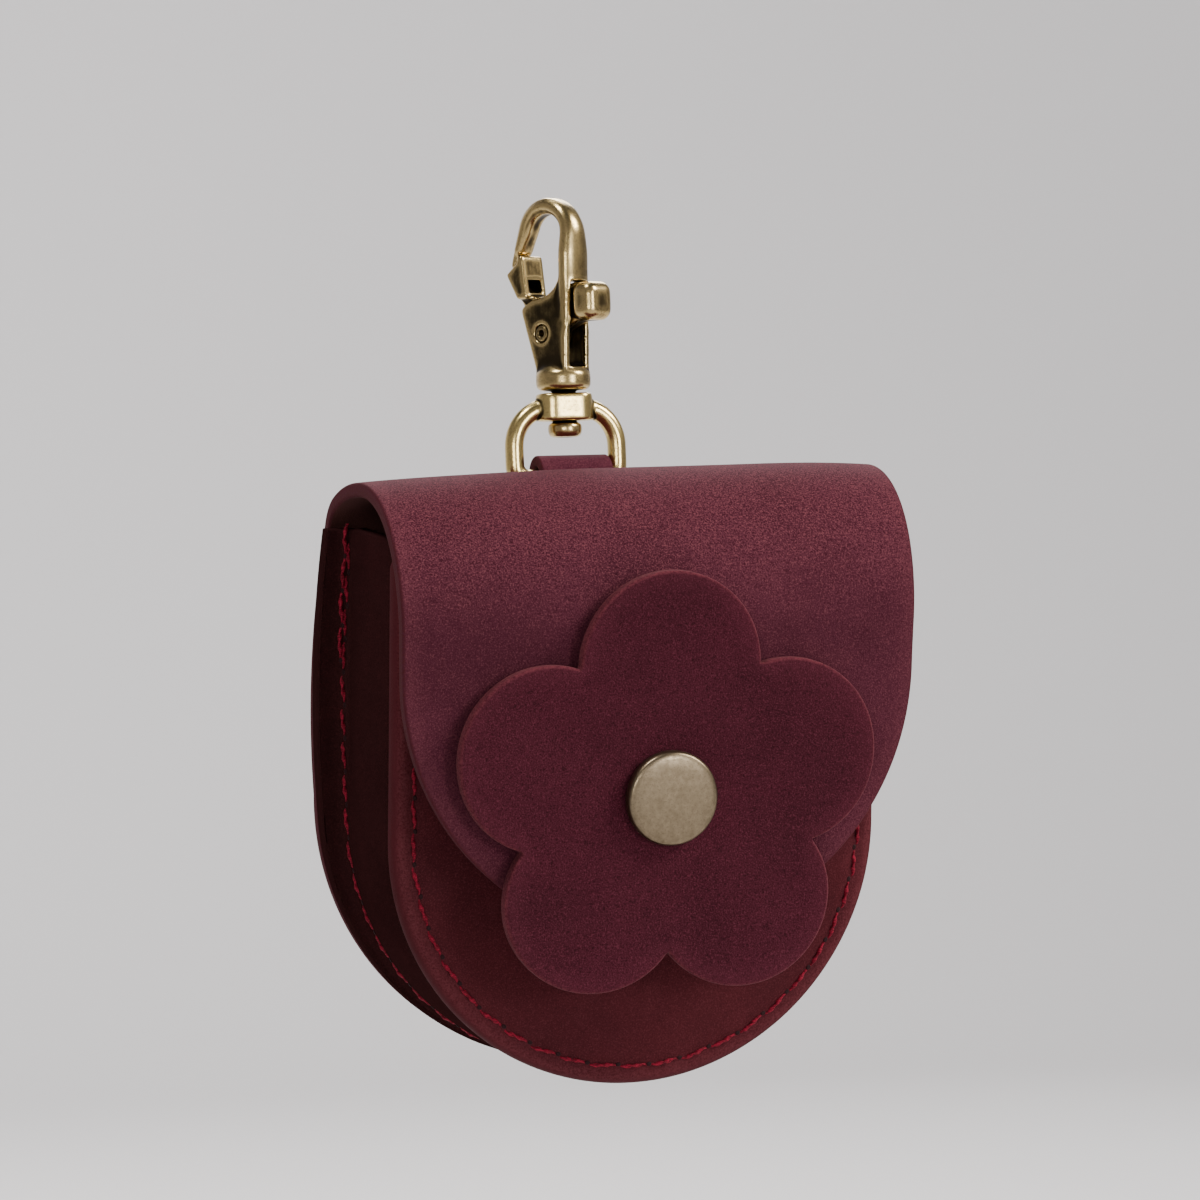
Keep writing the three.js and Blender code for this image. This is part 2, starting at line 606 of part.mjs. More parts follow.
// The lever closed: a channel-shaped gate under the nose, an eye on the pin and a thumb tab.
function claspLeverGeometry() {
  const head = {
    left: NOSE_OUTER.u,
    outer: NOSE_OUTER.z - 2 * GAP,
    lip: NOSE_INNER.u + 2 * GAP,
    top: NOSE_INNER.z - GAP,
  };
  const foot = {
    left: CHEEK_LEFT_U - GATE_OUT,
    right: CHEEK_LEFT_U - GATE_OUT + GATE_DEPTH,
    bottom: CHEEK_TOP_Z + GATE_OUT,
  };
  const gateOutline = [
    [foot.left, foot.bottom],
    [foot.right, foot.bottom],
    [head.lip + GATE_LIP_DEPTH, head.top + GATE_LIP],
    [head.lip, head.top + GATE_LIP],
    [head.lip, head.top],
    [head.left, head.outer],
  ];
  const gate = plateGeometry(shapeThrough(gateOutline), GATE_WIDTH, 0, 1);
  const channelOutline = [
    [foot.left + GATE_WALL, foot.bottom + GATE_WALL],
    [foot.right + GATE_WALL, foot.bottom + GATE_WALL],
    [head.lip + GATE_DEPTH, head.outer - GATE_WALL],
    [head.left + GATE_WALL, head.outer - GATE_WALL],
  ];
  const channel = plateGeometry(shapeThrough(channelOutline), GATE_WIDTH - 2 * GATE_WALL, 0, 1);
  const thumbTop = SLOT_TOP_Z - GAP;
  const thumbBottom = thumbTop - THUMB.height;
  const armOutline = [
    [PIN.u - LEVER_EYE_RADIUS, PIN.z],
    [PIN.u + LEVER_EYE_RADIUS, PIN.z],
    [THUMB.inner, thumbBottom + THUMB.edge],
    [THUMB.inner + 2 * THUMB.edge, thumbBottom + THUMB.edge],
    [THUMB.inner + 2 * THUMB.edge, thumbTop - THUMB.edge],
    [FOOT_HALF_WIDTH, thumbTop - THUMB.edge],
    [0, CHEEK_TOP_Z],
    [foot.right, foot.bottom + GATE_WALL / 2],
    [foot.left, foot.bottom + GATE_WALL / 2],
    [foot.left, foot.bottom],
  ];
  const arm = plateGeometry(shapeThrough(armOutline), LEVER_WIDTH, 0, 1);
  const padOutline = [
    [THUMB.inner, thumbBottom],
    [THUMB.outer, thumbBottom],
    [THUMB.outer, thumbTop],
    [THUMB.inner, thumbTop],
  ];
  const pad = plateGeometry(shapeThrough(padOutline), THUMB.width, THUMB.edge, 1);
  const eye = new THREE.CylinderGeometry(LEVER_EYE_RADIUS, LEVER_EYE_RADIUS, LEVER_WIDTH, ROUND_SIDES);
  eye.translate(PIN.u, 0, PIN.z);
  return cut(join(cut(gate, channel), arm, pad, eye), pinHole(PIN.radius + PIN_CLEARANCE));
}

function leverPinGeometry() {
  const half = CLASP_THICKNESS / 2;
  const profile = [
    [0, -half + PIN.boreDepth],
    [PIN.bore, -half + PIN.boreDepth],
    [PIN.bore, -half],
    [PIN.radius, -half],
    [PIN.radius, half],
    [PIN.bore, half],
    [PIN.bore, half - PIN.boreDepth],
    [0, half - PIN.boreDepth],
  ];
  return turnedGeometry(profile).translate(PIN.u, 0, PIN.z);
}

function leather(color) {
  return new THREE.MeshStandardMaterial({ color, roughness: 0.85, metalness: 0 });
}

function brass(color, roughness) {
  return new THREE.MeshStandardMaterial({ color, roughness, metalness: 1 });
}

function piece(name, geometry, material) {
  const mesh = new THREE.Mesh(geometry, material);
  mesh.name = name;
  return mesh;
}

const BURGUNDY = 0x5a2a31;
const DARK_BURGUNDY = 0x4c1d27;
const OLD_BRASS = 0x96794a;
const CAP_BRASS = 0xa08a63;

const clasp = new THREE.Group();
clasp.rotation.z = THREE.MathUtils.degToRad(CLASP_TURN);
clasp.add(
  piece("clasp_body", claspBodyGeometry(), brass(OLD_BRASS, 0.35)),
  piece("clasp_lever", claspLeverGeometry(), brass(OLD_BRASS, 0.35)),
  piece("lever_pin", leverPinGeometry(), brass(OLD_BRASS, 0.3)),
);

// Everything sewn or riveted to the pouch leans with it about the ring's bar.
const barBehindBack = WIRE_RADIUS + 2 * GAP + TAB_LEATHER;
const sewn = new THREE.Group();
sewn.position.set(0, -barBehindBack, BAR_BELOW_CREST);
sewn.add(
  piece("back_flap", backFlapGeometry(), leather(BURGUNDY)),
  piece("gusset", gussetGeometry(), leather(BURGUNDY)),
  piece("front_panel", frontPanelGeometry(), leather(BURGUNDY)),
  piece("flower", flowerGeometry(), leather(DARK_BURGUNDY)),
  piece("snap_cap", snapCapGeometry(), brass(CAP_BRASS, 0.4)),
  piece("snap_stud", snapStudGeometry(), brass(CAP_BRASS, 0.4)),
);
const hanging = new THREE.Group();
hanging.position.set(HANG_SIDE, 0, BAR_Z);
hanging.rotation.x = THREE.MathUtils.degToRad(HANG_TILT);
hanging.add(sewn, piece("ring_tab", ringTabGeometry(), leather(DARK_BURGUNDY)));

const pouch = new THREE.Group();
pouch.add(clasp, piece("swivel_ring", swivelRingGeometry(), brass(OLD_BRASS, 0.3)), hanging);

export default pouch;
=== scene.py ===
"""Looks of a small leather pouch with a flower on its flap, hanging from a swivel clasp.

Laid out as an add-on and run as a script. Everything is in metres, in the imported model's frame,
apart from the castings, which are shaped in millimetres and scaled when they are set in their place.
The pouch's own frame has y = 0 on the back's outer face and z = 0 at the ends of the fold's crest.
"""
import json
import math

import bmesh
import bpy
import numpy as np
from bpy.props import FloatProperty, FloatVectorProperty, IntProperty, PointerProperty
from bpy.types import Operator, Panel, PropertyGroup
from mathutils import Matrix, Vector, noise


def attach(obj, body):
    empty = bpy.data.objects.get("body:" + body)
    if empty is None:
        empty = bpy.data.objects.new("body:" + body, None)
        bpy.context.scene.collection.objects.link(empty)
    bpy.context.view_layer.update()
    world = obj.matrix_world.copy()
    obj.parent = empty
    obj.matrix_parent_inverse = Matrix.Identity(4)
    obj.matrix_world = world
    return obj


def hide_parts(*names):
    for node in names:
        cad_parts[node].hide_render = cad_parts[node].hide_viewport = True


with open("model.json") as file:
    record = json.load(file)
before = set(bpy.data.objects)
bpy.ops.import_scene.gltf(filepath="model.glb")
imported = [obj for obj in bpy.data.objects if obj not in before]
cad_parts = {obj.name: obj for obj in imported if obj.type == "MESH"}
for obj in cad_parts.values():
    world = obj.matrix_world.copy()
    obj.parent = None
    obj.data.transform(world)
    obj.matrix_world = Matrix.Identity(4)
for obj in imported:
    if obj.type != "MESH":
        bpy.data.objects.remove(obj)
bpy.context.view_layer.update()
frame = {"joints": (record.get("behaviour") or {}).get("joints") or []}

bl_info = {
    "name": "Leather Pouch",
    "version": (1, 0, 0),
    "blender": (4, 5, 0),
    "location": "View3D > Sidebar > Pouch",
    "description": "Builds a leather pouch with a flower, a snap and a swivel clasp",
    "category": "Add Mesh",
}

MM = 0.001
JOINTS = {joint["name"]: joint for joint in frame["joints"]}
BAR = JOINTS["ring_swing"]["pos_m"]
PIN = JOINTS["gate_hinge"]["pos_m"]

# How finely the pieces are made

EDGE_BAND = 6 * MM  # widest band of fine rings along a cut edge
EDGE_SHARE = 0.7  # and its widest share of the way to the spine
WELD = 1e-7  # points nearer than this become one, in metres
CAST_WELD = 1e-5  # the same for castings, in millimetres
CAST_GRAIN = 0.12  # voxels of the castings, in millimetres
CAST_PASSES = 8  # smoothing of a casting after it is cut
HOOK_POLISH = 90  # smoothing of the hook before it is cut
LEVER_POLISH = 40  # of the lever
RING_POLISH = 70  # and of the ring
RING_WEAR_AND_REFLECTION = 0.20  # how far the ring is brightened all over, partly as rubbed wear and partly as a painted reflection
TURNED_RECESS = 0.4  # how dark the turned pieces are, from 0 to 1
GUSSET_CORNER = 5  # points round each worn corner of the gusset


def length(name, size, description):
    """A size that a user may change, given in millimetres and kept in metres."""
    return FloatProperty(
        name=name,
        description=description,
        default=size * MM,
        unit="LENGTH",
        subtype="DISTANCE",
        precision=5,
    )


def lengths(name, sizes, description):
    """A few sizes that belong together, given in millimetres and kept in metres."""
    values = tuple(size * MM for size in sizes)
    return FloatVectorProperty(
        name=name,
        description=description,
        default=values,
        size=len(values),
        unit="LENGTH",
        precision=5,
    )


def angle(name, degrees, description):
    """An angle that a user may change, given in degrees."""
    value = math.radians(degrees)
    return FloatProperty(name=name, description=description, default=value, subtype="ANGLE")


def part_of(name, value, description):
    """A share from 0 to 1 that a user may change."""
    return FloatProperty(
        name=name, description=description, default=value, min=0, max=1, subtype="FACTOR"
    )


def colour(name, value, description):
    """A linear colour that a user may change."""
    return FloatVectorProperty(
        name=name, description=description, default=value, min=0, max=1, subtype="COLOR"
    )


class PouchHang(PropertyGroup):
    """How the leather hangs on the ring's bar."""

    tilt: angle("Tilt", 8, "Lean of the pouch, face down, below the ring")
    side: length("To one side", 0.7, "How far the pouch hangs to one side of the ring's middle")
    below_crest: length("Bar below crest", 1.9, "From the crest's ends down to the bar's centre")
    behind_back: length("Bar behind back", 3.55, "From the back's outer face to the bar's centre")


class PouchLeather(PropertyGroup):
    """Sizes of the back, the fold and the flap, which are one piece of leather."""

    thickness: length("Thickness", 2, "Thickness of the leather")
    corner: length("Edge", 0.45, "Radius of the worn corners of a cut edge")
    wave: length("Wave", 0.22, "How far the hand-cut leather strays from a true surface")
    back_radius: length("Back radius", 38.7, "Half the back's width, and its round end's radius")
    back_centre: length("Back centre", -44.4, "Height of the centre of the back's round end")
    back_swell: length("Back swell", 2.15, "How far the back's sides swell out")
    crest: length("Crest", 1.2, "How far the crest's middle stands above its ends")
    crest_right: length("Crest on the right", 1.3, "How far the crest's right end stands up again")
    fold_width: length("Fold half width", 37.4, "Half the width where the back turns into the fold")
    fold_shift: length("Fold shift", 0.5, "How far the fold lies to the right")
    fold_radius: length("Fold radius", 19.8, "Outer radius of the fold's top and front")
    fold_back: length("Fold back radius", 7, "Outer radius where the back turns into the fold")
    flap_face: length("Flap face", -34.5, "Depth of the flap's outer face")
    flap_radius: length("Flap radius", 36.5, "Half the flap's width, and the radius of its round end")
    flap_centre: length("Flap centre", -23.9, "Height of the centre of the flap's round end")
    flap_straight: length("Flap straight to", -46, "Height where the flap starts to curl in")
    flap_curl: length("Flap curl", 1.6, "How far the flap's tip curls in")
    bow: length("Bow", 1.2, "How far the side edges of fold and flap bend back from their middle")
    bow_by: part_of("Bow by", 0.3, "Share of the fold over which the bow comes in")


class PouchFront(PropertyGroup):
    """Sizes of the front panel and of the gusset behind its edge."""

    radius: length("Radius", 35, "Half width of the front panel, and the radius of its round end")
    centre: length("Centre", -47.5, "Height of the centre of the round end")
    top: length("Top", -8, "Height of the top edge, under the flap")
    face: length("Face", -25, "Depth of the front face at the panel's edge")
    dome: length("Dome", 1.8, "How far the panel's middle stands forward")
    rim: length("Rim", 0.95, "Radius of the panel's rubbed-down rim")
    rim_curl: part_of("Rim curl", 0.6, "Share of the gusset's bend that the rim follows")
    gap: length("Gap", 0.3, "Clearance between neighbouring pieces")
    seat: length("Seat", 0.05, "Clearance between the gusset's sewn flange and the back")
    flange: length("Flange", 6, "Width of the gusset's front flange")
    bend: length("Bend", 2.2, "Outer radius of the gusset's front bend")
    bend_back: length("Back bend", 4, "Outer radius of the gusset's back bend")
    bulge: length("Bulge", 0.35, "How far the gusset's wall swells out")
    mouth_width: length("Mouth half width", 38.2, "Half width of the gusset at its top edge")
    mouth_back: length("Mouth back", -7.3, "Height of the gusset's top edge at the back")
    mouth_front: length("Mouth front", -6.8, "Height of the gusset's top edge along its wall")
    mouth_rise: length("Mouth rise", 3, "Depth over which the top edge climbs from one to the other")


class PouchFlower(PropertyGroup):
    """Sizes of the flower and of the snap that holds it."""

    height: length("Height", -40.8, "Height of the snap's centre")
    petals: IntProperty(name="Petals", description="Number of petals", default=5, min=3)
    petal_radius: length("Petal radius", 12.8, "Radius of one petal")
    petal_centre: length("Petal centre", 17.75, "From the flower's centre to a petal's centre")
    lift: length("Lift", 0.5, "How far the petals' tips stand off the flap")
    squat: part_of("Squat", 0.037, "Share by which the lower petals are shorter")
    dimple: length("Dimple", 0.3, "How far the cap presses the petals in")
    cap_radius: length("Cap radius", 6.45, "Radius of the snap's cap")
    cap_height: length("Cap height", 1.6, "Height of the snap's cap")
    shank: length("Shank", 1.9, "Radius of the snap's shank")
    socket_radius: length("Socket radius", 4.6, "Radius of the snap's socket")
    socket_height: length("Socket height", 2.2, "Height of the snap's socket")
    stud_radius: length("Stud radius", 4.2, "Radius of the snap's stud")
    rivet_height: length("Rivet height", 1.2, "Height of the stud's flange inside the pouch")


class PouchTab(PropertyGroup):
    """Sizes of the leather tab that is looped round the ring's bar."""

    width: length("Width", 10.6, "Width of the tab")
    thickness: length("Thickness", 1.6, "Thickness of the tab's leather")
    drop: length("Drop", 24, "From the bar's centre down to the sewn ends")
    joins: length("Joins", 8.5, "Below the bar's centre, where the back leg meets the front one")
    corner: length("Edge", 0.35, "Radius of the worn corners of a cut edge")
    end_corner: length("End corner", 1.5, "Radius of the corners of the tab's ends")


class PouchThread(PropertyGroup):
    """Sizes of the seams."""

    pitch: length("Pitch", 4.5, "From one stitch to the next")
    stitch: length("Stitch", 4.3, "Length of one stitch")
    radius: length("Radius", 0.32, "Radius of the thread")
    lean: angle("Lean", 5, "Usual turn of a stitch out of its seam")
    seed: IntProperty(name="Seed", description="Seed of the stitches' lean", default=7)
    front_margin: length("Front margin", 2.8, "From the front panel's edge to its seam")
    back_margin: length("Back margin", 3.3, "From the back's edge to its seam")
    front_end: length("Front end", 4, "From the front panel's top to the ends of its seam")
    back_end: length("Back end", 3, "From the gusset's mouth to the ends of its seam")
    tab_pitch: length("Tab pitch", 3.6, "From one stitch to the next on the tab")
    tab_margin: length("Tab margin", 1.7, "From the tab's edge to its seam")
    groove: length("Groove", 0.3, "How deep the seams draw the leather in")
    groove_width: length("Groove width", 0.9, "Half width of that draw")


class PouchClasp(PropertyGroup):
    """Sizes of the clasp, with u from the gate to the spine, and of the ring on its swivel."""

    turn: angle("Turn", -63, "Turn of the hook's plane about the swivel's axis")
    thickness: length("Thickness", 5.2, "Width of the hook across its plane")
    foot: length("Foot", 2.9, "Half width of the body above the collar")
    foot_z: length("Foot height", -21.7, "Height where the body meets the collar")
    slot: length("Slot", 3.2, "Width of the slot between the cheeks")
    slot_top: length("Slot top", -9.3, "Height of the slot's top")
    slot_bottom: length("Slot bottom", -21.2, "Height of the slot's bottom")
    cheek_top: length("Cheek top", -12.2, "Height of the cheeks' top")
    cheek_left: length("Cheek left", -5.5, "Outermost u of the cheeks")
    collar: length("Collar", 3.85, "Radius of the collar")
    collar_top: length("Collar top", -21.5, "Height of the collar's top")
    collar_bottom: length("Collar bottom", -24.4, "Height of the collar's underside")
    collar_edge: length("Collar edge", 0.5, "Bevel of the collar's edges")
    post: length("Post", 1.6, "Radius of the swivel's post")
    head: length("Head", 2.4, "Radius of the post's riveted head")
    head_bottom: length("Head bottom", -31, "Height of the head's underside")
    pin_radius: length("Pin radius", 1.1, "Radius of the lever's pin")
    pin_bore: length("Pin bore", 0.5, "Radius of the hollow in the pin's ends")
    pin_clearance: length("Pin clearance", 0.2, "Clearance round the pin")
    lever: length("Lever", 2.7, "Width of the lever")
    lever_eye: length("Lever eye", 2.2, "Radius of the lever's eye on the pin")
    gate: length("Gate", 4.4, "Width of the gate's channel")
    gate_sizes: lengths(
        "Gate sizes",
        (0.9, 1.9, 0.9, 1, 0.9),
        "Wall, depth, lip height, lip depth and how far the foot stands out",
    )
    thumb_soft: length("Thumb rounding", 1.5, "Radius of the thumb pad's edges")
    thumb: lengths("Thumb pad", (8.0, 4.1, 5.4, 5.2), "Outer u, inner u, height and width on the lever")
    crown: lengths("Crown", (-1.5, -2.75, 5.4), "Centre u, height and radius of its outer arc")
    crown_inner: lengths("Inner crown", (-1.5, -2.75, 3.1), "Centre u, height and radius of its inner arc")
    web: length("Web", 2.4, "Width of the web inside the hook's rod")
    rod_thick: lengths("Rod thickness", (3, 2.6, 2.3, 1.7), "Thickness of the rod, from spine to nose")
    rod_wide: lengths("Rod width", (5.2, 4, 3.7, 3.4), "Width of the rod, from spine to nose")
    crown_sweep: angle("Crown sweep", 165, "Angle of the crown's arc, from the spine over to the nose")
    nose: lengths("Nose", (-8.4, -7.1), "Outer corner of the nose, u and height")
    nose_inner: lengths("Inner nose", (-6.8, -5.8), "Inner corner of the nose, u and height")
    wire: length("Wire", 1.35, "Radius of the ring's wire")
    ring_width: length("Ring half width", 7.6, "Half width of the ring, to the wire's centre")
    ring_shoulder: length("Ring shoulder", 5.4, "Radius of the ring's shoulders")
    ring_corner: length("Ring corner", 1.8, "Radius of the ring's lower corners")
    eye_corner: length("Eye corner", 2.2, "Radius of the corners of the ring's eye")
    eye_top: length("Eye top", -24.8, "Height of the top of the ring's eye")
    eye_height: length("Eye height", 3.9, "Height of the ring's eye")
    eye_width: length("Eye width", 7.9, "Width of the ring's eye")
    eye_depth: length("Eye depth", 5.2, "Depth of the ring's eye")


class PouchColours(PropertyGroup):
    """Linear colours of the finishes."""

    leather: colour("Leather", (0.062, 0.0135, 0.0235), "Middle tone of the pouch's leather")
    leather_pale: colour("Pale leather", (0.150, 0.042, 0.051), "Rubbed tone of the pouch's leather")
    leather_dark: colour("Dark leather", (0.026, 0.0040, 0.0085), "Oiled tone of the pouch's leather")
    flower: colour("Flower", (0.044, 0.0053, 0.0118), "Middle tone of the flower's leather")
    flower_pale: colour("Pale flower", (0.095, 0.018, 0.030), "Rubbed tone of the flower's leather")
    flower_dark: colour("Dark flower", (0.019, 0.0018, 0.0042), "Oiled tone of the flower's leather")
    # The flower's cut edges are pale partly from the raw cut and partly as a painted highlight on the
    # petals' rims.
    flower_cut_and_highlight: colour("Flower's cut edge", (0.125, 0.026, 0.034), "Raw cut edges of the flower")
    waxed: colour("Waxed leather", (0.054, 0.0090, 0.0122), "Middle tone of the front panel")
    waxed_pale: colour("Pale waxed leather", (0.130, 0.031, 0.038), "Rubbed tone of the front panel")
    waxed_dark: colour("Dark waxed leather", (0.017, 0.0040, 0.0050), "Oiled tone of the front panel")
    cut: colour("Cut edge", (0.055, 0.0105, 0.0120), "Raw cut edges of the pouch")
    flesh: colour("Flesh side", (0.05, 0.02, 0.016), "The leather's unfinished inner side")
    # The gusset's three tones are darker copies of the leather's: painted shade on its walls.
    side: colour("Side leather", (0.024, 0.0078, 0.0080), "Middle tone of the gusset")
    shaded_side_pale: colour("Pale side leather", (0.060, 0.0140, 0.0150), "Rubbed tone of the gusset")
    shaded_side_dark: colour("Dark side leather", (0.012, 0.0042, 0.0044), "Oiled tone of the gusset")
    thread: colour("Thread", (0.23, 0.007, 0.024), "Thread of the seams")
    brass: colour("Brass", (0.56, 0.42, 0.185), "Rubbed brass")
    # A brighter copy of the brass for the ring: partly rubbed wear, partly a painted reflection.
    ring_brass: colour("Ring's brass", (0.71, 0.54, 0.215), "Rubbed brass of the swivel ring")
    # Patina lies in the recesses and also darkens the flats, partly as a painted dark reflection.
    patina: colour("Patina", (0.034, 0.024, 0.011), "Darkened brass in the recesses")
    cap: colour("Cap", (0.38, 0.30, 0.20), "Rubbed brass of the snap's cap")
    cap_patina: colour("Cap patina", (0.085, 0.064, 0.036), "Darkened brass of the snap's cap")
    stage: colour("Stage", (0.62, 0.61, 0.62), "Floor and wall of the studio")


class PouchStage(PropertyGroup):
    """Camera, lights and studio."""

    azimuth: angle("Azimuth", -20.05, "Camera's place round the pouch, from its front")
    elevation: angle("Elevation", -0.49, "Camera's height above the aim, as an angle")
    roll: angle("Roll", 2.02, "Lean of the camera's upright to its right")
    distance: length("Distance", 735.7, "From the camera to what it aims at")
    aim: FloatVectorProperty(
        name="Aim",
        description="Point in the middle of the picture",
        default=(-0.77 * MM, -13.93 * MM, -53.98 * MM),
        subtype="TRANSLATION",
        unit="LENGTH",
    )
    lens: FloatProperty(name="Lens", description="Focal length in millimetres", default=160.8)
    sensor: FloatProperty(name="Sensor", description="Width of the film in millimetres", default=36)
    floor: length("Floor", -190, "Height of the floor")
    radius: length("Studio radius", 1300, "Radius of the round studio")
    cove: length("Cove", 450, "Radius of the curve from floor to wall")
    wall: length("Wall", 1500, "Height of the wall above the floor")


# Shapes


def arc(centre, radius, start, end, steps):
    """Points on an arc, with its angles in degrees."""
    turn = np.radians(np.linspace(start, end, steps + 1))
    return np.column_stack([centre[0] + radius * np.cos(turn), centre[1] + radius * np.sin(turn)])


def line(start, end, steps):
    """Points on a straight line, with its end left out."""
    share = np.linspace(0, 1, steps + 1)[:-1, None]
    return np.asarray(start) + (np.asarray(end) - np.asarray(start)) * share


def bezier(corners, steps):
    """Points on a smooth curve that starts and ends on the outer corners and leans to the others."""
    share = np.linspace(0, 1, steps + 1)[:, None]
    rows = [np.asarray(corner, float) for corner in corners]
    while len(rows) > 1:
        rows = [start + (end - start) * share for start, end in zip(rows, rows[1:])]
    return rows[0]


def curved(start, end, swell, steps):
    """Points on a curve that swells to the right of a straight line, with its end left out."""
    start, end = np.array(start), np.array(end)
    side = np.array([end[1] - start[1], start[0] - end[0]])
    middle = (start + end) / 2 + side / np.linalg.norm(side) * swell
    return bezier((start, middle, end), steps)[:-1]


def along(points):
    """Distance of each point from the first one, along the line."""
    return np.concatenate([[0], np.cumsum(np.linalg.norm(np.diff(points, axis=0), axis=1))])


def directions(points):
    """Unit tangents of an open line of points."""
    ahead = np.gradient(points, along(points), axis=0)
    return ahead / np.linalg.norm(ahead, axis=1)[:, None]


def smoothstep(value, low, high):
    """From 0 at low to 1 at high, smoothly."""
    share = np.clip((value - low) / (high - low), 0, 1)
    return share * share * (3 - 2 * share)


def waves(x, y, reach, amount):
    """Slow hills and hollows over a flat pattern, the same each run."""
    layer = 0.5
    places = zip(x / reach, y / reach)
    return amount * np.array([noise.noise(Vector((a, b, layer))) for a, b in places])


def laid(points, normals, y, height):
    """Depth and height of places that lie y along a middle line and a height along its normals."""
    run = along(points)
    at, out = (
        np.column_stack([np.interp(y, run, axis) for axis in rows.T]) for rows in (points, normals)
    )
    return at + out * height[:, None]


def new_object(name, data):
    """An object for a mesh, a lamp or a camera, linked into the scene."""
    piece = bpy.data.objects.new(name, data)
    bpy.context.scene.collection.objects.link(piece)
    return piece


def mark_points(mesh, name, values):
    """Keeps a value for each point, for the finishes to read."""
    attribute = mesh.attributes.new(name, "FLOAT", "POINT")
    attribute.data.foreach_set("value", np.asarray(values, np.float32))


def closed_mesh(name, points, faces, marks=None, weld=WELD):
    """A welded mesh with its faces outward, and its marks as point attributes."""
    mesh = bpy.data.meshes.new(name)
    mesh.from_pydata([tuple(point) for point in points], [], faces)
    for mark, values in (marks or {}).items():
        mark_points(mesh, mark, values)
    bm = bmesh.new()
    bm.from_mesh(mesh)
    bmesh.ops.remove_doubles(bm, verts=bm.verts, dist=weld)
    bmesh.ops.dissolve_degenerate(bm, edges=bm.edges, dist=weld)
    bmesh.ops.recalc_face_normals(bm, faces=bm.faces)
    bm.to_mesh(mesh)
    bm.free()
    mesh.shade_smooth()
    return mesh


def grid_faces(rows, columns):
    """Quads between rows of points whose columns close on themselves."""
    faces = []
    for start in range(0, (rows - 1) * columns, columns):
        after = start + columns
        for a in range(columns):
            b = (a + 1) % columns
            faces.append((start + a, start + b, after + b, after + a))
    return faces


def tube_faces(rows, columns):
    """Quads between rows of points, with a face on either end."""
    last = (rows - 1) * columns
    ends = [tuple(range(columns)), tuple(last + i for i in reversed(range(columns)))]
    return grid_faces(rows, columns) + ends


def shell(name, outline, spine, place, thickness, corner, press=None, inward=None):
    """A wall cut to a flat outline and laid by place(x, y, height), with worn corners on its cut edge.

    Rings run in from the outline to the spine on both faces. press(x, y, inset, height) moves a face.
    With inward directions the spine is the rim of a hole, and else it is a line that both sides meet on.
    """
    half = thickness / 2
    toward = spine - outline
    to_spine = np.linalg.norm(toward, axis=1)
    edge_band = min(EDGE_BAND, EDGE_SHARE * to_spine.min())
    has_hole = inward is not None
    if not has_hole:
        inward = toward / to_spine[:, None]
    band = outline + inward * edge_band
    rest = spine - band
    reach = np.linalg.norm(rest, axis=1)
    corner_steps, edge_steps, near_rings, inner_rings, crowding = 5, 3, 10, 9, 1.1
    worn_from, worn_to = 0.2 * corner, 1.1 * corner
    round_off = np.radians(np.linspace(90, 0, corner_steps + 1))
    near = np.linspace(corner, edge_band, near_rings + 1)[1:]
    inner = np.linspace(0, 1, inner_rings + 1)[1:] ** crowding
    face = [(edge_band, share, half) for share in inner[::-1]] + [(inset, 0, half) for inset in near[::-1]]
    rim = [(corner * (1 - math.cos(t)), 0, half - corner * (1 - math.sin(t))) for t in round_off]
    side = [(0, 0, height) for height in np.linspace(half - corner, corner - half, edge_steps + 1)[1:-1]]
    upper = face + rim
    profile = upper + side + [(inset, share, -height) for inset, share, height in upper[::-1]]
    points, cut, inset_mark, under = [], [], [], []
    for inset, share, height in profile:
        depth = inset + share * reach
        flat = band + rest * share if share else outline + inward * inset
        heights = np.full(len(outline), height)
        if press is not None:
            heights = press(flat[:, 0], flat[:, 1], depth, heights)
        points.append(place(flat[:, 0], flat[:, 1], heights))
        raw = 1 - smoothstep(inset, worn_from, worn_to) if share == 0 else 0.0
        cut.append(np.full(len(outline), raw))
        inset_mark.append(depth)
        under.append(np.full(len(outline), float(height < 0)))
    if has_hole:
        for rows in (points, cut, inset_mark, under):
            rows.append(rows[0])
    faces = grid_faces(len(points), len(outline))
    marks = {"cut": cut, "inset": inset_mark, "under": under}
    marks = {mark: np.concatenate(rows) for mark, rows in marks.items()}
    return new_object(name, closed_mesh(name, np.concatenate(points), faces, marks))


def spine_of(outline, low, high):
    """For each point of an outline, the nearest one on its upright middle line from low to high."""
    return np.column_stack([np.zeros(len(outline)), np.clip(outline[:, 1], low, high)])


def turned(name, profile, steps=96):
    """A mesh turned about +Z from pairs of radius and height."""
    turn = np.linspace(0, 2 * math.pi, steps, endpoint=False)
    profile = np.asarray(profile, float)
    points = [
        np.column_stack([radius * np.cos(turn), radius * np.sin(turn), np.full(steps, height)])
        for radius, height in profile
    ]
    return closed_mesh(name, np.concatenate(points), grid_faces(len(profile), steps))


def rounded(profile, radius, steps=5):
    """A profile with its inner corners rounded by short curves."""
    points = np.asarray(profile, float)
    side_share = 1 / 2.2  # of a side, so that two curves never meet on it
    result = [points[0]]
    for before, at, after in zip(points[:-2], points[1:-1], points[2:]):
        ends = []
        for side in (before - at, after - at):
            reach = np.linalg.norm(side)
            ends.append(at + side / reach * min(radius, reach * side_share))
        result.extend(bezier((ends[0], at, ends[1]), steps))
    result.append(points[-1])
    return np.array(result)


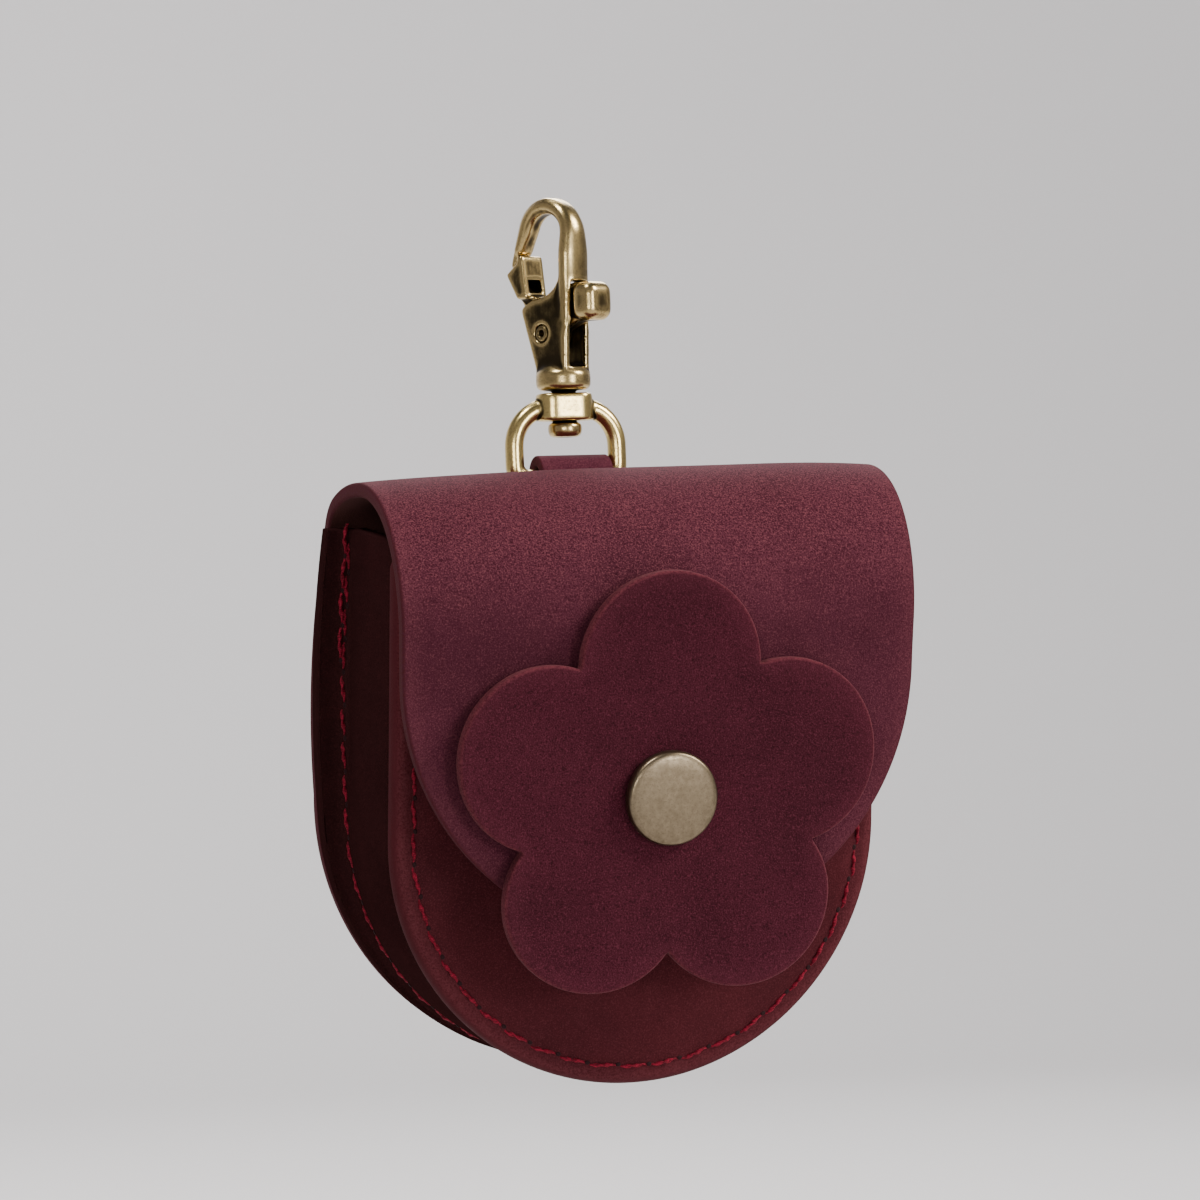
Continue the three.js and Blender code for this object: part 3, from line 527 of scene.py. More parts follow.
def plate(outline, width):
    """A mesh in millimetres of a flat outline (u, z), as wide as width about its plane."""
    count = len(outline)
    near = np.column_stack([outline[:, 0], np.full(count, -width / 2), outline[:, 1]])
    far = near + np.array([0, width, 0])
    faces = [tuple(range(count)), tuple(reversed(range(count, 2 * count)))]
    faces += [(i, count + i, count + (i + 1) % count, (i + 1) % count) for i in range(count)]
    return closed_mesh("plate", np.concatenate([near, far]), faces, weld=CAST_WELD)


def evaluated_mesh(piece):
    """The piece's mesh with its modifiers applied, as a plain mesh."""
    graph = bpy.context.evaluated_depsgraph_get()
    return bpy.data.meshes.new_from_object(piece.evaluated_get(graph))


def add_modifier(piece, kind, **settings):
    """Adds a modifier of a kind with its settings."""
    modifier = piece.modifiers.new(kind.lower(), kind)
    for key, value in settings.items():
        setattr(modifier, key, value)


def cast(name, solids, cutters, soft, wear_and_reflection=0.0):
    """Melts solids in millimetres into one casting, cuts it, wears its edges and marks its recesses."""
    bm = bmesh.new()
    for solid in solids:
        bm.from_mesh(solid)
    whole = bpy.data.meshes.new(name)
    bm.to_mesh(whole)
    bm.free()
    piece = new_object(name, whole)
    tools = [new_object(f"{name}_cutter", cutter) for cutter in cutters]
    add_modifier(piece, "REMESH", mode="VOXEL", voxel_size=CAST_GRAIN)
    add_modifier(piece, "SMOOTH", iterations=soft)
    for tool in tools:
        add_modifier(piece, "BOOLEAN", operation="DIFFERENCE", object=tool)
    add_modifier(piece, "REMESH", mode="VOXEL", voxel_size=CAST_GRAIN)
    add_modifier(piece, "SMOOTH", iterations=CAST_PASSES)
    mesh = evaluated_mesh(piece)
    for spare in [piece, *tools]:
        bpy.data.objects.remove(spare)
    mesh.name = name
    mesh.shade_smooth()
    mark_recesses(mesh, wear_and_reflection)
    return mesh


def mark_recesses(mesh, wear_and_reflection):
    """Marks points from 0 on worn edges to 1 in recesses, by how far they lie under their neighbours."""
    count = len(mesh.vertices)
    points, normals = np.zeros(3 * count), np.zeros(3 * count)
    mesh.vertices.foreach_get("co", points)
    mesh.vertices.foreach_get("normal", normals)
    points, normals = points.reshape(-1, 3), normals.reshape(-1, 3)
    ends = np.zeros(2 * len(mesh.edges), np.int64)
    mesh.edges.foreach_get("vertices", ends)
    a, b = ends.reshape(-1, 2).T
    degree = np.bincount(ends, minlength=count)[:, None]

    def around(values):
        total = np.zeros_like(values)
        np.add.at(total, a, values[b])
        np.add.at(total, b, values[a])
        return total / degree

    bend = ((around(points) - points) * normals).sum(axis=1)[:, None] / CAST_GRAIN
    spread_passes, steepness = 14, 75.0
    for _ in range(spread_passes):
        bend = (bend + around(bend)) / 2
    # The amount taken off here brightens the whole casting, partly as wear and partly as a painted
    # reflection.
    mark_points(mesh, "recess", 1 / (1 + np.exp(-steepness * bend[:, 0])) - wear_and_reflection)


# Places


def hung(points):
    """From the pouch's own frame to the model's frame."""
    hang = bpy.context.scene.pouch_hang
    moved = np.asarray(points) + np.array([0, -hang.behind_back, hang.below_crest])
    cosine, sine = math.cos(hang.tilt), math.sin(hang.tilt)
    x, y, z = moved.T
    return np.column_stack([x + hang.side, y * cosine - z * sine, y * sine + z * cosine]) + np.array(BAR)


def hung_direction(vector):
    """A direction in the pouch's own frame, in the model's frame."""
    tilt = bpy.context.scene.pouch_hang.tilt
    return Matrix.Rotation(tilt, 3, "X") @ Vector(vector)


def clasp_matrix():
    """From the clasp's u, v and height in millimetres to the model's frame."""
    return Matrix.Rotation(bpy.context.scene.pouch_clasp.turn, 4, "Z") @ Matrix.Scale(MM, 4)


def snap_matrix():
    """From a turned piece, with its axis up and its front at the top, to the snap's place."""
    hang = bpy.context.scene.pouch_hang
    flower = bpy.context.scene.pouch_flower
    origin = hung([(0, 0, flower.height)])[0]
    return Matrix.Translation(origin) @ Matrix.Rotation(hang.tilt + math.pi / 2, 4, "X")


def finish_piece(piece, body, slot, finish, *nodes):
    """Gives a piece its finish and its body, and hides the nodes that it stands for; the slot is not used.
    """
    piece.data.materials.clear()
    piece.data.materials.append(finish)
    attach(piece, body)
    if nodes:
        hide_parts(*nodes)


# Finishes


class Wire:
    """A socket that takes part in arithmetic."""

    def __init__(self, tree, socket):
        self.tree = tree
        self.socket = socket

    def math(self, operation, first, second):
        node = self.tree.nodes.new("ShaderNodeMath")
        node.operation = operation
        for socket, value in zip(node.inputs, (first, second)):
            if isinstance(value, Wire):
                self.tree.links.new(value.socket, socket)
            else:
                socket.default_value = value
        return Wire(self.tree, node.outputs[0])

    def __add__(self, other):
        return self.math("ADD", self, other)

    __radd__ = __add__

    def __sub__(self, other):
        return self.math("SUBTRACT", self, other)

    def __rsub__(self, other):
        return self.math("SUBTRACT", other, self)

    def __mul__(self, other):
        return self.math("MULTIPLY", self, other)

    __rmul__ = __mul__

    def sine(self):
        return self.math("SINE", self, 0.0)


class Nodes:
    """A node tree whose nodes are made one call at a time."""

    # Sockets that share their name with others of their node
    indices = {"A Color": 6, "B Color": 7, "Least": 2, "Most": 3}

    def __init__(self, tree):
        self.tree = tree

    def node(self, kind, settings=None, output=0, **sockets):
        """Adds a node: its settings first, then its sockets by name, with _ for a space."""
        node = self.tree.nodes.new(kind)
        for key, value in (settings or {}).items():
            setattr(node, key, value)
        for key, value in sockets.items():
            self.feed(node.inputs, key.replace("_", " "), value)
        return Wire(self.tree, node.outputs[output])

    def feed(self, inputs, key, value):
        socket = inputs[self.indices.get(key, key)]
        if isinstance(value, Wire):
            self.tree.links.new(value.socket, socket)
        elif socket.type == "RGBA" and len(value) == 3:
            socket.default_value = (*value, 1)
        else:
            socket.default_value = value


class Finish(Nodes):
    """A material whose surface is set by name."""

    def __init__(self, name):
        self.material = bpy.data.materials.new(name)
        self.material.use_nodes = True
        super().__init__(self.material.node_tree)
        self.shader = self.tree.nodes["Principled BSDF"]

    def surface(self, **sockets):
        for key, value in sockets.items():
            self.feed(self.shader.inputs, key.replace("_", " "), value)

    def noise(self, scale, detail=2.0, roughness=0.5, stretch=(1, 1, 1)):
        here = self.node("ShaderNodeTexCoord", output="Object")
        place = self.node("ShaderNodeMapping", Vector=here, Scale=stretch)
        return self.node(
            "ShaderNodeTexNoise", Vector=place, Scale=scale, Detail=detail, Roughness=roughness
        )

    def mark(self, name):
        return self.node("ShaderNodeAttribute", {"attribute_name": name}, output="Fac")

    def ramp(self, value, low, high):
        """From 0 at low to 1 at high, smoothly."""
        settings = {"interpolation_type": "SMOOTHSTEP"}
        return self.node("ShaderNodeMapRange", settings, Value=value, From_Min=low, From_Max=high)

    def blend(self, share, first, second):
        settings = {"data_type": "RGBA", "clamp_factor": True}
        return self.node("ShaderNodeMix", settings, output=2, Factor=share, A_Color=first, B_Color=second)

    def bump(self, height, strength, distance):
        return self.node("ShaderNodeBump", Height=height, Strength=strength, Distance=distance)


LEATHERS = {
    "napped_leather": {
        "tones": ("leather", "leather_pale", "leather_dark", "cut"),
        "nap_share": 0.6,
        "wax": 0.0,
        "gloss": 0.05,
        "sheen": 0.025,
        "rub_and_highlight": 0.2,
    },
    "waxed_leather": {
        "tones": ("waxed", "waxed_pale", "waxed_dark", "waxed"),
        "nap_share": 0.4,
        "wax": 0.6,
        "gloss": 0.04,
        "sheen": 0.0,
        # On the front panel this rub is also a painted highlight on the rim.
        "rub_and_highlight": 0.55,
    },
    # Darker tones for the gusset: painted shade on its walls.
    "side_leather": {
        "tones": ("side", "shaded_side_pale", "shaded_side_dark", "side"),
        "nap_share": 0.5,
        "wax": 0.3,
        "gloss": 0.0,
        "sheen": 0.0,
        "rub_and_highlight": 0.3,
    },
    "petal_leather": {
        "tones": ("flower", "flower_pale", "flower_dark", "flower_cut_and_highlight"),
        "nap_share": 1.0,
        "wax": 0.0,
        "gloss": 0.10,
        "sheen": 0.03,
        "rub_and_highlight": 0.3,
    },
}

BRASSES = {
    "antique_brass": {"tones": ("brass", "patina"), "mottle": 0.28, "grain": (1, 1, 0.12)},
    "ring_brass": {"tones": ("ring_brass", "patina"), "mottle": 0.28, "grain": (1, 1, 1)},
    "cap_brass": {"tones": ("cap", "cap_patina"), "mottle": 0.08, "grain": (1, 1, 1)},
}


def tinted(*names):
    """Colours of the finishes by name."""
    colours = bpy.context.scene.pouch_colours
    return [getattr(colours, name) for name in names]


def leather_finish(name, tones, nap_share, wax, gloss, sheen, rub_and_highlight):
    """Leather with a short nap, oily clouds, rubbed edges and raw cuts; wax smooths and deepens it. Rims and
    crest are paler partly as a painted highlight.
    """
    middle, pale, dark, raw, flesh = tinted(*tones, "flesh")
    finish = Finish(name)
    cloud = finish.noise(70, detail=3, roughness=0.55)
    drift = finish.noise(210, detail=2)
    nap = finish.noise(4600, detail=2, roughness=0.65)
    pores = finish.noise(5200, detail=2)
    fibres = finish.noise(2900, detail=3, roughness=0.7)
    cut = finish.mark("cut")
    under = finish.mark("under")
    raised = nap_share * (0.7 + 0.9 * finish.mark("raised"))
    # Paler near cut edges: partly rubbed wear, and on the front panel partly a painted highlight on the rim.
    rubbed = 1 - finish.ramp(finish.mark("inset"), 0.6 * MM, 3.6 * MM)
    tone = finish.blend(finish.ramp(cloud, 0.40, 0.72) * 0.35, middle, dark)
    tone = finish.blend(finish.ramp(drift, 0.45, 0.85) * 0.10, tone, pale)
    # Paler towards the fold's crest: partly nap raised by handling, partly a painted highlight on the top.
    tone = finish.blend(finish.mark("raised") * 0.10, tone, pale)
    tone = finish.blend(finish.ramp(nap, 0.51, 0.68) * raised, tone, pale)
    tone = finish.blend(finish.ramp(nap, 0.49, 0.32) * raised * 1.5, tone, dark)
    tone = finish.blend(rubbed * finish.ramp(fibres, 0.25, 0.70) * rub_and_highlight, tone, pale)
    tone = finish.blend(under * 0.85, tone, flesh)
    torn = finish.blend(finish.ramp(fibres, 0.25, 0.70), middle, raw)
    tone = finish.blend(cut * 0.9, tone, torn)
    height = nap * (0.7 - 0.5 * wax) + pores * 0.3 + fibres * (0.6 * cut + 0.4 * under)
    finish.surface(
        Base_Color=tone,
        Roughness=0.80 - 0.30 * wax + 0.14 * nap,
        Normal=finish.bump(height, 0.6, 0.14 * MM),
    )
    finish.surface(Specular_IOR_Level=gloss)
    finish.surface(Sheen_Weight=sheen, Sheen_Roughness=0.45, Sheen_Tint=(1.0, 0.55, 0.55))
    return finish.material


def thread_finish(name):
    """Waxed thread of twisted strands; the discs at its holes take painted shade."""
    thread, hole = tinted("thread", "waxed_dark")
    finish = Finish(name)
    strands = finish.noise(2400, detail=2, stretch=(1, 1, 2.2))
    shade = tuple(0.35 * channel for channel in thread)
    tone = finish.blend(finish.ramp(strands, 0.35, 0.65), shade, thread)
    # Painted shade: the discs at the stitch holes take the dark waxed tone.
    tone = finish.blend(finish.mark("hole"), tone, hole)
    finish.surface(Base_Color=tone, Roughness=0.62, Normal=finish.bump(strands, 0.7, 0.15 * MM))
    finish.surface(Specular_IOR_Level=0.12)
    return finish.material


def brass_finish(name, tones, mottle, grain):
    """Brushed and darkened brass: bright on worn edges, brown with patina in recesses and on flats, where
    the brown is partly a painted dark reflection, with fine pits.
    """
    bright, patina = tinted(*tones)
    finish = Finish(name)
    recess = finish.mark("recess")
    stain = finish.noise(420, detail=4, roughness=0.65)
    pits = finish.noise(4200, detail=2)
    brush = finish.noise(1500, detail=2, stretch=grain)
    # Flats fall on the dark side of this ramp as well as recesses: patina, and partly a painted dark
    # reflection.
    dark = finish.ramp(recess + mottle * (stain - 0.5) + 0.12 * (brush - 0.5), 0.22, 0.54)
    tone = finish.blend(dark, bright, patina)
    tone = finish.blend(finish.ramp(pits, 0.52, 0.72) * 0.45, tone, patina)
    roughness = 0.20 + 0.20 * dark + 0.10 * (brush - 0.5) + 0.08 * pits
    height = pits * 0.5 + brush * 0.35
    finish.surface(Base_Color=tone, Roughness=roughness, Normal=finish.bump(height, 0.22, 0.05 * MM))
    finish.surface(Metallic=1.0)
    return finish.material


def stage_finish(name):
    """Pale painted studio with a trace of roller texture."""
    (paint,) = tinted("stage")
    finish = Finish(name)
    cloud = finish.noise(3, detail=2)
    deeper = tuple(0.96 * channel for channel in paint)
    finish.surface(Base_Color=finish.blend(cloud, deeper, paint), Roughness=0.9)
    return finish.material


def finish_named(name):
    """A finish by name, made once."""
    if name in bpy.data.materials:
        return bpy.data.materials[name]
    if name in LEATHERS:
        return leather_finish(name, **LEATHERS[name])
    if name in BRASSES:
        return brass_finish(name, **BRASSES[name])
    makers = {"seam_thread": thread_finish, "studio_paint": stage_finish}
    return makers[name](name)


# Seams

SEAM_INPUTS = {
    "Path": "Geometry",
    "Pitch": "Float",
    "Stitch": "Float",
    "Radius": "Float",
    "Lean": "Float",
    "Seed": "Int",
    "Thread": "Material",
}


def stitch_turn(seam, given):
    """How a stitch is turned: along its seam, with its back along the lift, and leaning by chance."""
    tangent = seam.node("GeometryNodeInputTangent")
    lift = seam.node("GeometryNodeInputNamedAttribute", {"data_type": "FLOAT_VECTOR"}, Name="lift")
    align = "FunctionNodeAlignRotationToVector"
    forward = seam.node(align, {"axis": "X"}, Vector=tangent)
    upright = seam.node(align, {"axis": "Z", "pivot_axis": "X"}, Rotation=forward, Vector=lift)
    least, most = 0.2 * given["Lean"], 1.8 * given["Lean"]
    settings = {"data_type": "FLOAT"}
    lean = seam.node(
        "FunctionNodeRandomValue", settings, output=1, Least=least, Most=most, Seed=given["Seed"]
    )
    sway = seam.node("ShaderNodeCombineXYZ", Z=lean)
    swayed = seam.node("FunctionNodeEulerToRotation", Euler=sway)
    settings = {"rotation_space": "LOCAL"}
    return seam.node("FunctionNodeRotateRotation", settings, Rotation=upright, Rotate_By=swayed)


def stitch_shape(seam, given):
    """One bowed and twisted stitch of flat thread, thin at its ends, and a flat disc beside it as painted
    shade for its hole.
    """
    radius, half = given["Radius"], 0.5 * given["Stitch"]
    sunk, high = -1.3 * radius, 1.9 * radius
    thin, fuller, twist = 0.6, 0.45, 3 * math.pi
    thread_shape, hole_shade_shape = (1.0, 0.58, 1.0), (1.2, 0.9, 0.2)
    start = seam.node("ShaderNodeCombineXYZ", X=-1 * half, Z=sunk)
    middle = seam.node("ShaderNodeCombineXYZ", Z=high)
    end = seam.node("ShaderNodeCombineXYZ", X=half, Z=sunk)
    bow = seam.node(
        "GeometryNodeCurveQuadraticBezier", Resolution=16, Start=start, Middle=middle, End=end
    )
    reached = seam.node("GeometryNodeSplineParameter", output="Factor")
    twisted = seam.node("GeometryNodeSetCurveTilt", Curve=bow, Tilt=twist * reached)
    fullness = thin + fuller * (math.pi * reached).sine()
    tapered = seam.node("GeometryNodeSetCurveRadius", Curve=twisted, Radius=fullness)
    ring = seam.node("GeometryNodeCurvePrimitiveCircle", {"mode": "RADIUS"}, Resolution=10, Radius=radius)
    strands = seam.node("GeometryNodeTransform", Geometry=ring, Scale=thread_shape)
    stitch = seam.node("GeometryNodeCurveToMesh", Curve=tapered, Profile_Curve=strands, Fill_Caps=True)
    ball = seam.node("GeometryNodeMeshIcoSphere", Radius=radius, Subdivisions=2)
    beside = seam.node("ShaderNodeCombineXYZ", X=0.5 * given["Pitch"])
    pressed = seam.node("GeometryNodeTransform", Geometry=ball, Translation=beside, Scale=hole_shade_shape)
    hole = seam.node("GeometryNodeStoreNamedAttribute", Geometry=pressed, Name="hole", Value=1.0)
    both = seam.node("GeometryNodeJoinGeometry", Geometry=stitch)
    seam.feed(both.socket.node.inputs, "Geometry", hole)
    return both


def seam_tree():
    """Geometry nodes that lay a stitch at each pitch of a path."""
    name = "pouch_seam"
    if name in bpy.data.node_groups:
        return bpy.data.node_groups[name]
    tree = bpy.data.node_groups.new(name, "GeometryNodeTree")
    for label, kind in SEAM_INPUTS.items():
        tree.interface.new_socket(label, in_out="INPUT", socket_type=f"NodeSocket{kind}")
    tree.interface.new_socket("Stitches", in_out="OUTPUT", socket_type="NodeSocketGeometry")
    seam = Nodes(tree)
    sockets = tree.nodes.new("NodeGroupInput").outputs
    given = {label: Wire(tree, sockets[label]) for label in SEAM_INPUTS}
    curve = seam.node("GeometryNodeMeshToCurve", Mesh=given["Path"])
    spaced = seam.node("GeometryNodeResampleCurve", {"mode": "LENGTH"}, Curve=curve, Length=given["Pitch"])
    stitch, turn = stitch_shape(seam, given), stitch_turn(seam, given)
    rows = seam.node("GeometryNodeInstanceOnPoints", Points=spaced, Instance=stitch, Rotation=turn)
    real = seam.node("GeometryNodeRealizeInstances", Geometry=rows)
    dyed = seam.node("GeometryNodeSetMaterial", Geometry=real, Material=given["Thread"])
    seam.feed(tree.nodes.new("NodeGroupOutput").inputs, "Stitches", dyed)
    return tree


def sew(name, paths, pitch=None):
    """A seam on the pouch along paths of points and lifts, as one plain mesh."""
    thread = bpy.context.scene.pouch_thread
    pitch = pitch or thread.pitch
    points, edges, lifts = [], [], []
    for path, lift in paths:
        start = len(points)
        points.extend(hung(path))
        edges.extend((start + i, start + i + 1) for i in range(len(path) - 1))
        lifts.extend(hung_direction(direction) for direction in lift)
    mesh = bpy.data.meshes.new(f"{name}_path")
    mesh.from_pydata([tuple(point) for point in points], edges, [])
    attribute = mesh.attributes.new("lift", "FLOAT_VECTOR", "POINT")
    attribute.data.foreach_set("vector", np.array(lifts).ravel())
    guide = new_object(f"{name}_path", mesh)
    modifier = guide.modifiers.new("seam", "NODES")
    modifier.node_group = seam_tree()
    values = {
        "Pitch": pitch,
        "Stitch": thread.stitch * pitch / thread.pitch,
        "Radius": thread.radius,
        "Lean": thread.lean,
        "Seed": thread.seed,
        "Thread": finish_named("seam_thread"),
    }
    for item in modifier.node_group.interface.items_tree:
        if item.in_out == "INPUT" and item.name in values:
            modifier[item.identifier] = values[item.name]
    stitches = evaluated_mesh(guide)
    bpy.data.objects.remove(guide)
    stitches.name = name
    stitches.shade_smooth()
    finish_piece(new_object(name, stitches), "pouch", "leather", finish_named("seam_thread"))


# Leather


def fold_line():
    """Middle line of back, fold and flap in depth and height, its normals, and the back's length."""
    leather = bpy.context.scene.pouch_leather
    half = leather.thickness / 2
    top = (leather.flap_face + leather.fold_radius, leather.crest - leather.fold_radius)
    apart = leather.fold_radius - leather.fold_back
    back_z = top[1] + math.sqrt(apart**2 - (top[0] + leather.fold_back) ** 2)
    meet = math.degrees(math.atan2(back_z - top[1], -leather.fold_back - top[0]))
    bottom = leather.back_centre - leather.back_radius
    tip = leather.flap_centre - leather.flap_radius
    face = leather.flap_face + half
    straight = leather.flap_straight
    curl = ((face, straight), (face, (straight + tip) / 2), (face + leather.flap_curl, tip))
    points = np.concatenate(
        [
            line((-half, bottom), (-half, back_z), 200),
            arc((-leather.fold_back, back_z), leather.fold_back - half, 0, meet, 60)[:-1],
            arc(top, leather.fold_radius - half, meet, 180, 240)[:-1],
            line((face, top[1]), (face, straight), 100),
            bezier(curl, 79),
        ]
    )
    ahead = directions(points)
    normals = np.column_stack([ahead[:, 1], -ahead[:, 0]])
    return points, normals, back_z - bottom


def lay_fold(points, normals, back_length):
    """How the flat pattern of back and flap is laid: place(x, y, height) for y along the middle line."""
    leather = bpy.context.scene.pouch_leather
    hang_at = along(points)[-1] - leather.flap_radius
    loose_at, wave_reach, shift_start = back_length + 20 * MM, 17 * MM, 0.15

    def place(x, y, height):
        share = np.clip((y - back_length) / (hang_at - back_length), 0, 1)
        half_width = leather.fold_width + (leather.flap_radius - leather.fold_width) * share
        bow = leather.bow * smoothstep(share, 0, leather.bow_by) * (x / half_width) ** 2
        x = x + leather.fold_shift * np.sin(np.pi * np.clip(share + shift_start, 0, 1)) ** 2
        loose = smoothstep(y, back_length, loose_at)
        crest_end = leather.crest_right * smoothstep(x, 0, half_width) * np.sin(np.pi * share) ** 2
        lift = height - bow + crest_end + loose * waves(x, y, wave_reach, leather.wave)
        return hung(np.column_stack([x, laid(points, normals, y, lift)]))

    return place


def fold_outline(run, back_length):
    """Flat outline of back and flap, and the spine that it shrinks to."""
    leather = bpy.context.scene.pouch_leather
    low, high = leather.back_radius, run - leather.flap_radius
    round_steps, back_steps, fold_steps = 110, 40, 110
    fold_right = (leather.fold_width, back_length)
    fold_left = (-leather.fold_width, back_length)
    outline = np.concatenate(
        [
            arc((0, low), leather.back_radius, 180, 360, round_steps)[:-1],
            curved((leather.back_radius, low), fold_right, leather.back_swell, back_steps),
            line(fold_right, (leather.flap_radius, high), fold_steps),
            arc((0, high), leather.flap_radius, 0, 180, round_steps)[:-1],
            line((-leather.flap_radius, high), fold_left, fold_steps),
            curved(fold_left, (-leather.back_radius, low), leather.back_swell, back_steps),
        ]
    )
    return outline, spine_of(outline, low, high)


def flat_area(outline):
    """Area inside a flat outline."""
    x, y = outline.T
    return 0.5 * abs(np.dot(x, np.roll(y, 1)) - np.dot(y, np.roll(x, 1)))


def declare_cut(outline):
    """Works out the area inside that flat outline, and keeps nothing of it."""
    flat_area(outline)


def drawn_in(inset, margin):
    """How far a seam draws the leather in, at a distance from the edge."""
    thread = bpy.context.scene.pouch_thread
    return thread.groove * np.exp(-(((inset - margin) / thread.groove_width) ** 2))


class POUCH_OT_back_flap(Operator):
    """Back, fold and flap, cut from one piece of leather"""

    bl_idname = "pouch.back_flap"
    bl_label = "Back and flap"

    def execute(self, context):
        leather = context.scene.pouch_leather
        thread = context.scene.pouch_thread
        points, normals, back_length = fold_line()
        outline, spine = fold_outline(along(points)[-1], back_length)
        fade_from, fade_to, each_face = back_length - 8 * MM, back_length - 3 * MM, 0.5

        def press(x, y, inset, height):
            sewn = 1 - smoothstep(y, fade_from, fade_to)
            return height - np.sign(height) * each_face * sewn * drawn_in(inset, thread.back_margin)

        place = lay_fold(points, normals, back_length)
        piece = shell("back_and_flap", outline, spine, place, leather.thickness, leather.corner, press)
        finish_piece(piece, "pouch", "leather", finish_named("napped_leather"), "back_flap")
        self.mark_crest_nap_and_highlight(piece.data)
        declare_cut(outline)
        return {"FINISHED"}

    def mark_crest_nap_and_highlight(self, mesh):
        """Marks the fold's crest, higher towards the top: handling has raised the nap there, and the mark
        also lays a painted highlight on it.
        """
        low, high = -24 * MM, -4 * MM
        heights = np.array([vertex.co.z for vertex in mesh.vertices]) - BAR[2]
        mark_points(mesh, "raised", smoothstep(heights, low, high))


def front_outline():
    """Flat outline of the front panel, and the spine that it shrinks to."""
    front = bpy.context.scene.pouch_front
    corner, corner_steps, round_steps, side_steps, top_steps = 3 * MM, 12, 150, 50, 60
    side, top = front.radius - corner, front.top - corner
    outline = np.concatenate(
        [
            arc((0, front.centre), front.radius, 180, 360, round_steps)[:-1],
            line((front.radius, front.centre), (front.radius, top), side_steps),
            arc((side, top), corner, 0, 90, corner_steps)[:-1],
            line((side, front.top), (-side, front.top), top_steps),
            arc((-side, top), corner, 90, 180, corner_steps)[:-1],
            line((-front.radius, top), (-front.radius, front.centre), side_steps),
        ]
    )
    return outline, spine_of(outline, front.centre, front.top - front.radius / 2)


def front_depth(x, z):
    """Depth of the front panel's face."""
    front = bpy.context.scene.pouch_front
    from_axis = np.hypot(x, np.minimum(0, z - front.centre))
    return front.face - front.dome * (1 - np.minimum(1, (from_axis / front.radius) ** 2))


class POUCH_OT_front_panel(Operator):
    """Domed front panel with a rubbed-down rim"""

    bl_idname = "pouch.front_panel"
    bl_label = "Front panel"

    def execute(self, context):
        leather = context.scene.pouch_leather
        front = context.scene.pouch_front
        thread = context.scene.pouch_thread
        outline, spine = front_outline()
        wave_reach, wave = 14 * MM, 0.6 * leather.wave

        def press(x, z, inset, height):
            to_bend = np.maximum(0, front.bend - inset)
            curl = front.rim_curl * (front.bend - np.sqrt(front.bend**2 - to_bend**2))
            return height - curl - (height > 0) * drawn_in(inset, thread.front_margin)

        def place(x, z, height):
            middle = front_depth(x, z) + leather.thickness / 2
            return hung(np.column_stack([x, middle - height - waves(x, z, wave_reach, wave), z]))

        piece = shell("front_panel_leather", outline, spine, place, leather.thickness, front.rim, press)
        finish_piece(piece, "pouch", "leather", finish_named("waxed_leather"), "front_panel")
        declare_cut(outline)
        return {"FINISHED"}


def gusset_section(half):
    """Closed section of the gusset (out, depth) for a half thickness, and its marks, with worn edges."""
    leather = bpy.context.scene.pouch_leather
    front = bpy.context.scene.pouch_front
    corner = leather.corner
    middle = leather.thickness / 2
    rear = -leather.thickness - front.seat
    fore = front.face + leather.thickness + front.gap
    turn_out = front.bend_back - leather.thickness
    bend = front.bend - middle
    flange_out = leather.back_radius - front.radius
    flange_steps, turn_steps, wall_steps, bend_steps = 8, 14, 26, 10
    run = np.concatenate(
        [
            line((flange_out, rear - middle), (turn_out, rear - middle), flange_steps),
            arc((turn_out, rear - front.bend_back), front.bend_back - middle, 90, 180, turn_steps)[:-1],
            line((-middle, rear - front.bend_back), (-middle, fore + front.bend), wall_steps),
            arc((-front.bend, fore + front.bend), bend, 0, -90, bend_steps)[:-1],
            line((-front.bend, fore + middle), (-front.flange, fore + middle), flange_steps),
            [(-front.flange, fore + middle)],
        ]
    )
    ahead = directions(run)
    inner = np.column_stack([ahead[:, 1], -ahead[:, 0]])
    run[:, 0] += front.bulge * np.sin(np.pi * np.clip((run[:, 1] - rear) / (fore - rear), 0, 1)) ** 2
    round_off = np.radians(np.linspace(0, 90, GUSSET_CORNER))
    pull = corner * (1 - np.sin(round_off))[:, None]
    side = (half - corner * (1 - np.cos(round_off)))[:, None]
    sides = slice(2, -2)
    pieces = [
        run[sides] + inner[sides] * half,
        run[-1] - ahead[-1] * pull + inner[-1] * side,
        (run[-1] - ahead[-1] * pull - inner[-1] * side)[::-1],
        (run[sides] - inner[sides] * half)[::-1],
        run[0] + ahead[0] * pull - inner[0] * side,
        (run[0] + ahead[0] * pull + inner[0] * side)[::-1],
    ]
    faces, edge = np.zeros(len(pieces[0])), np.sin(round_off)
    marks = {
        "cut": np.concatenate([faces, edge, edge[::-1], faces, edge, edge[::-1]]),
        "under": np.concatenate([faces + 1, edge * 0, edge * 0, faces, edge * 0, edge * 0]),
    }
    return np.concatenate(pieces), marks


def back_edge(turn):
    """From the centre of the front panel's round end out to the back's edge, at an angle."""
    leather = bpy.context.scene.pouch_leather
    rise = leather.back_centre - bpy.context.scene.pouch_front.centre
    return rise * np.sin(turn) + np.sqrt(leather.back_radius**2 - (rise * np.cos(turn)) ** 2)


def gusset_reach(out, edge):
    """Distance of the gusset's section from the round end's centre, with its flange up to an edge."""
    radius = bpy.context.scene.pouch_front.radius
    stretch = (edge - radius) / (bpy.context.scene.pouch_leather.back_radius - radius)
    return radius + np.where(out > 0, out * stretch, out)


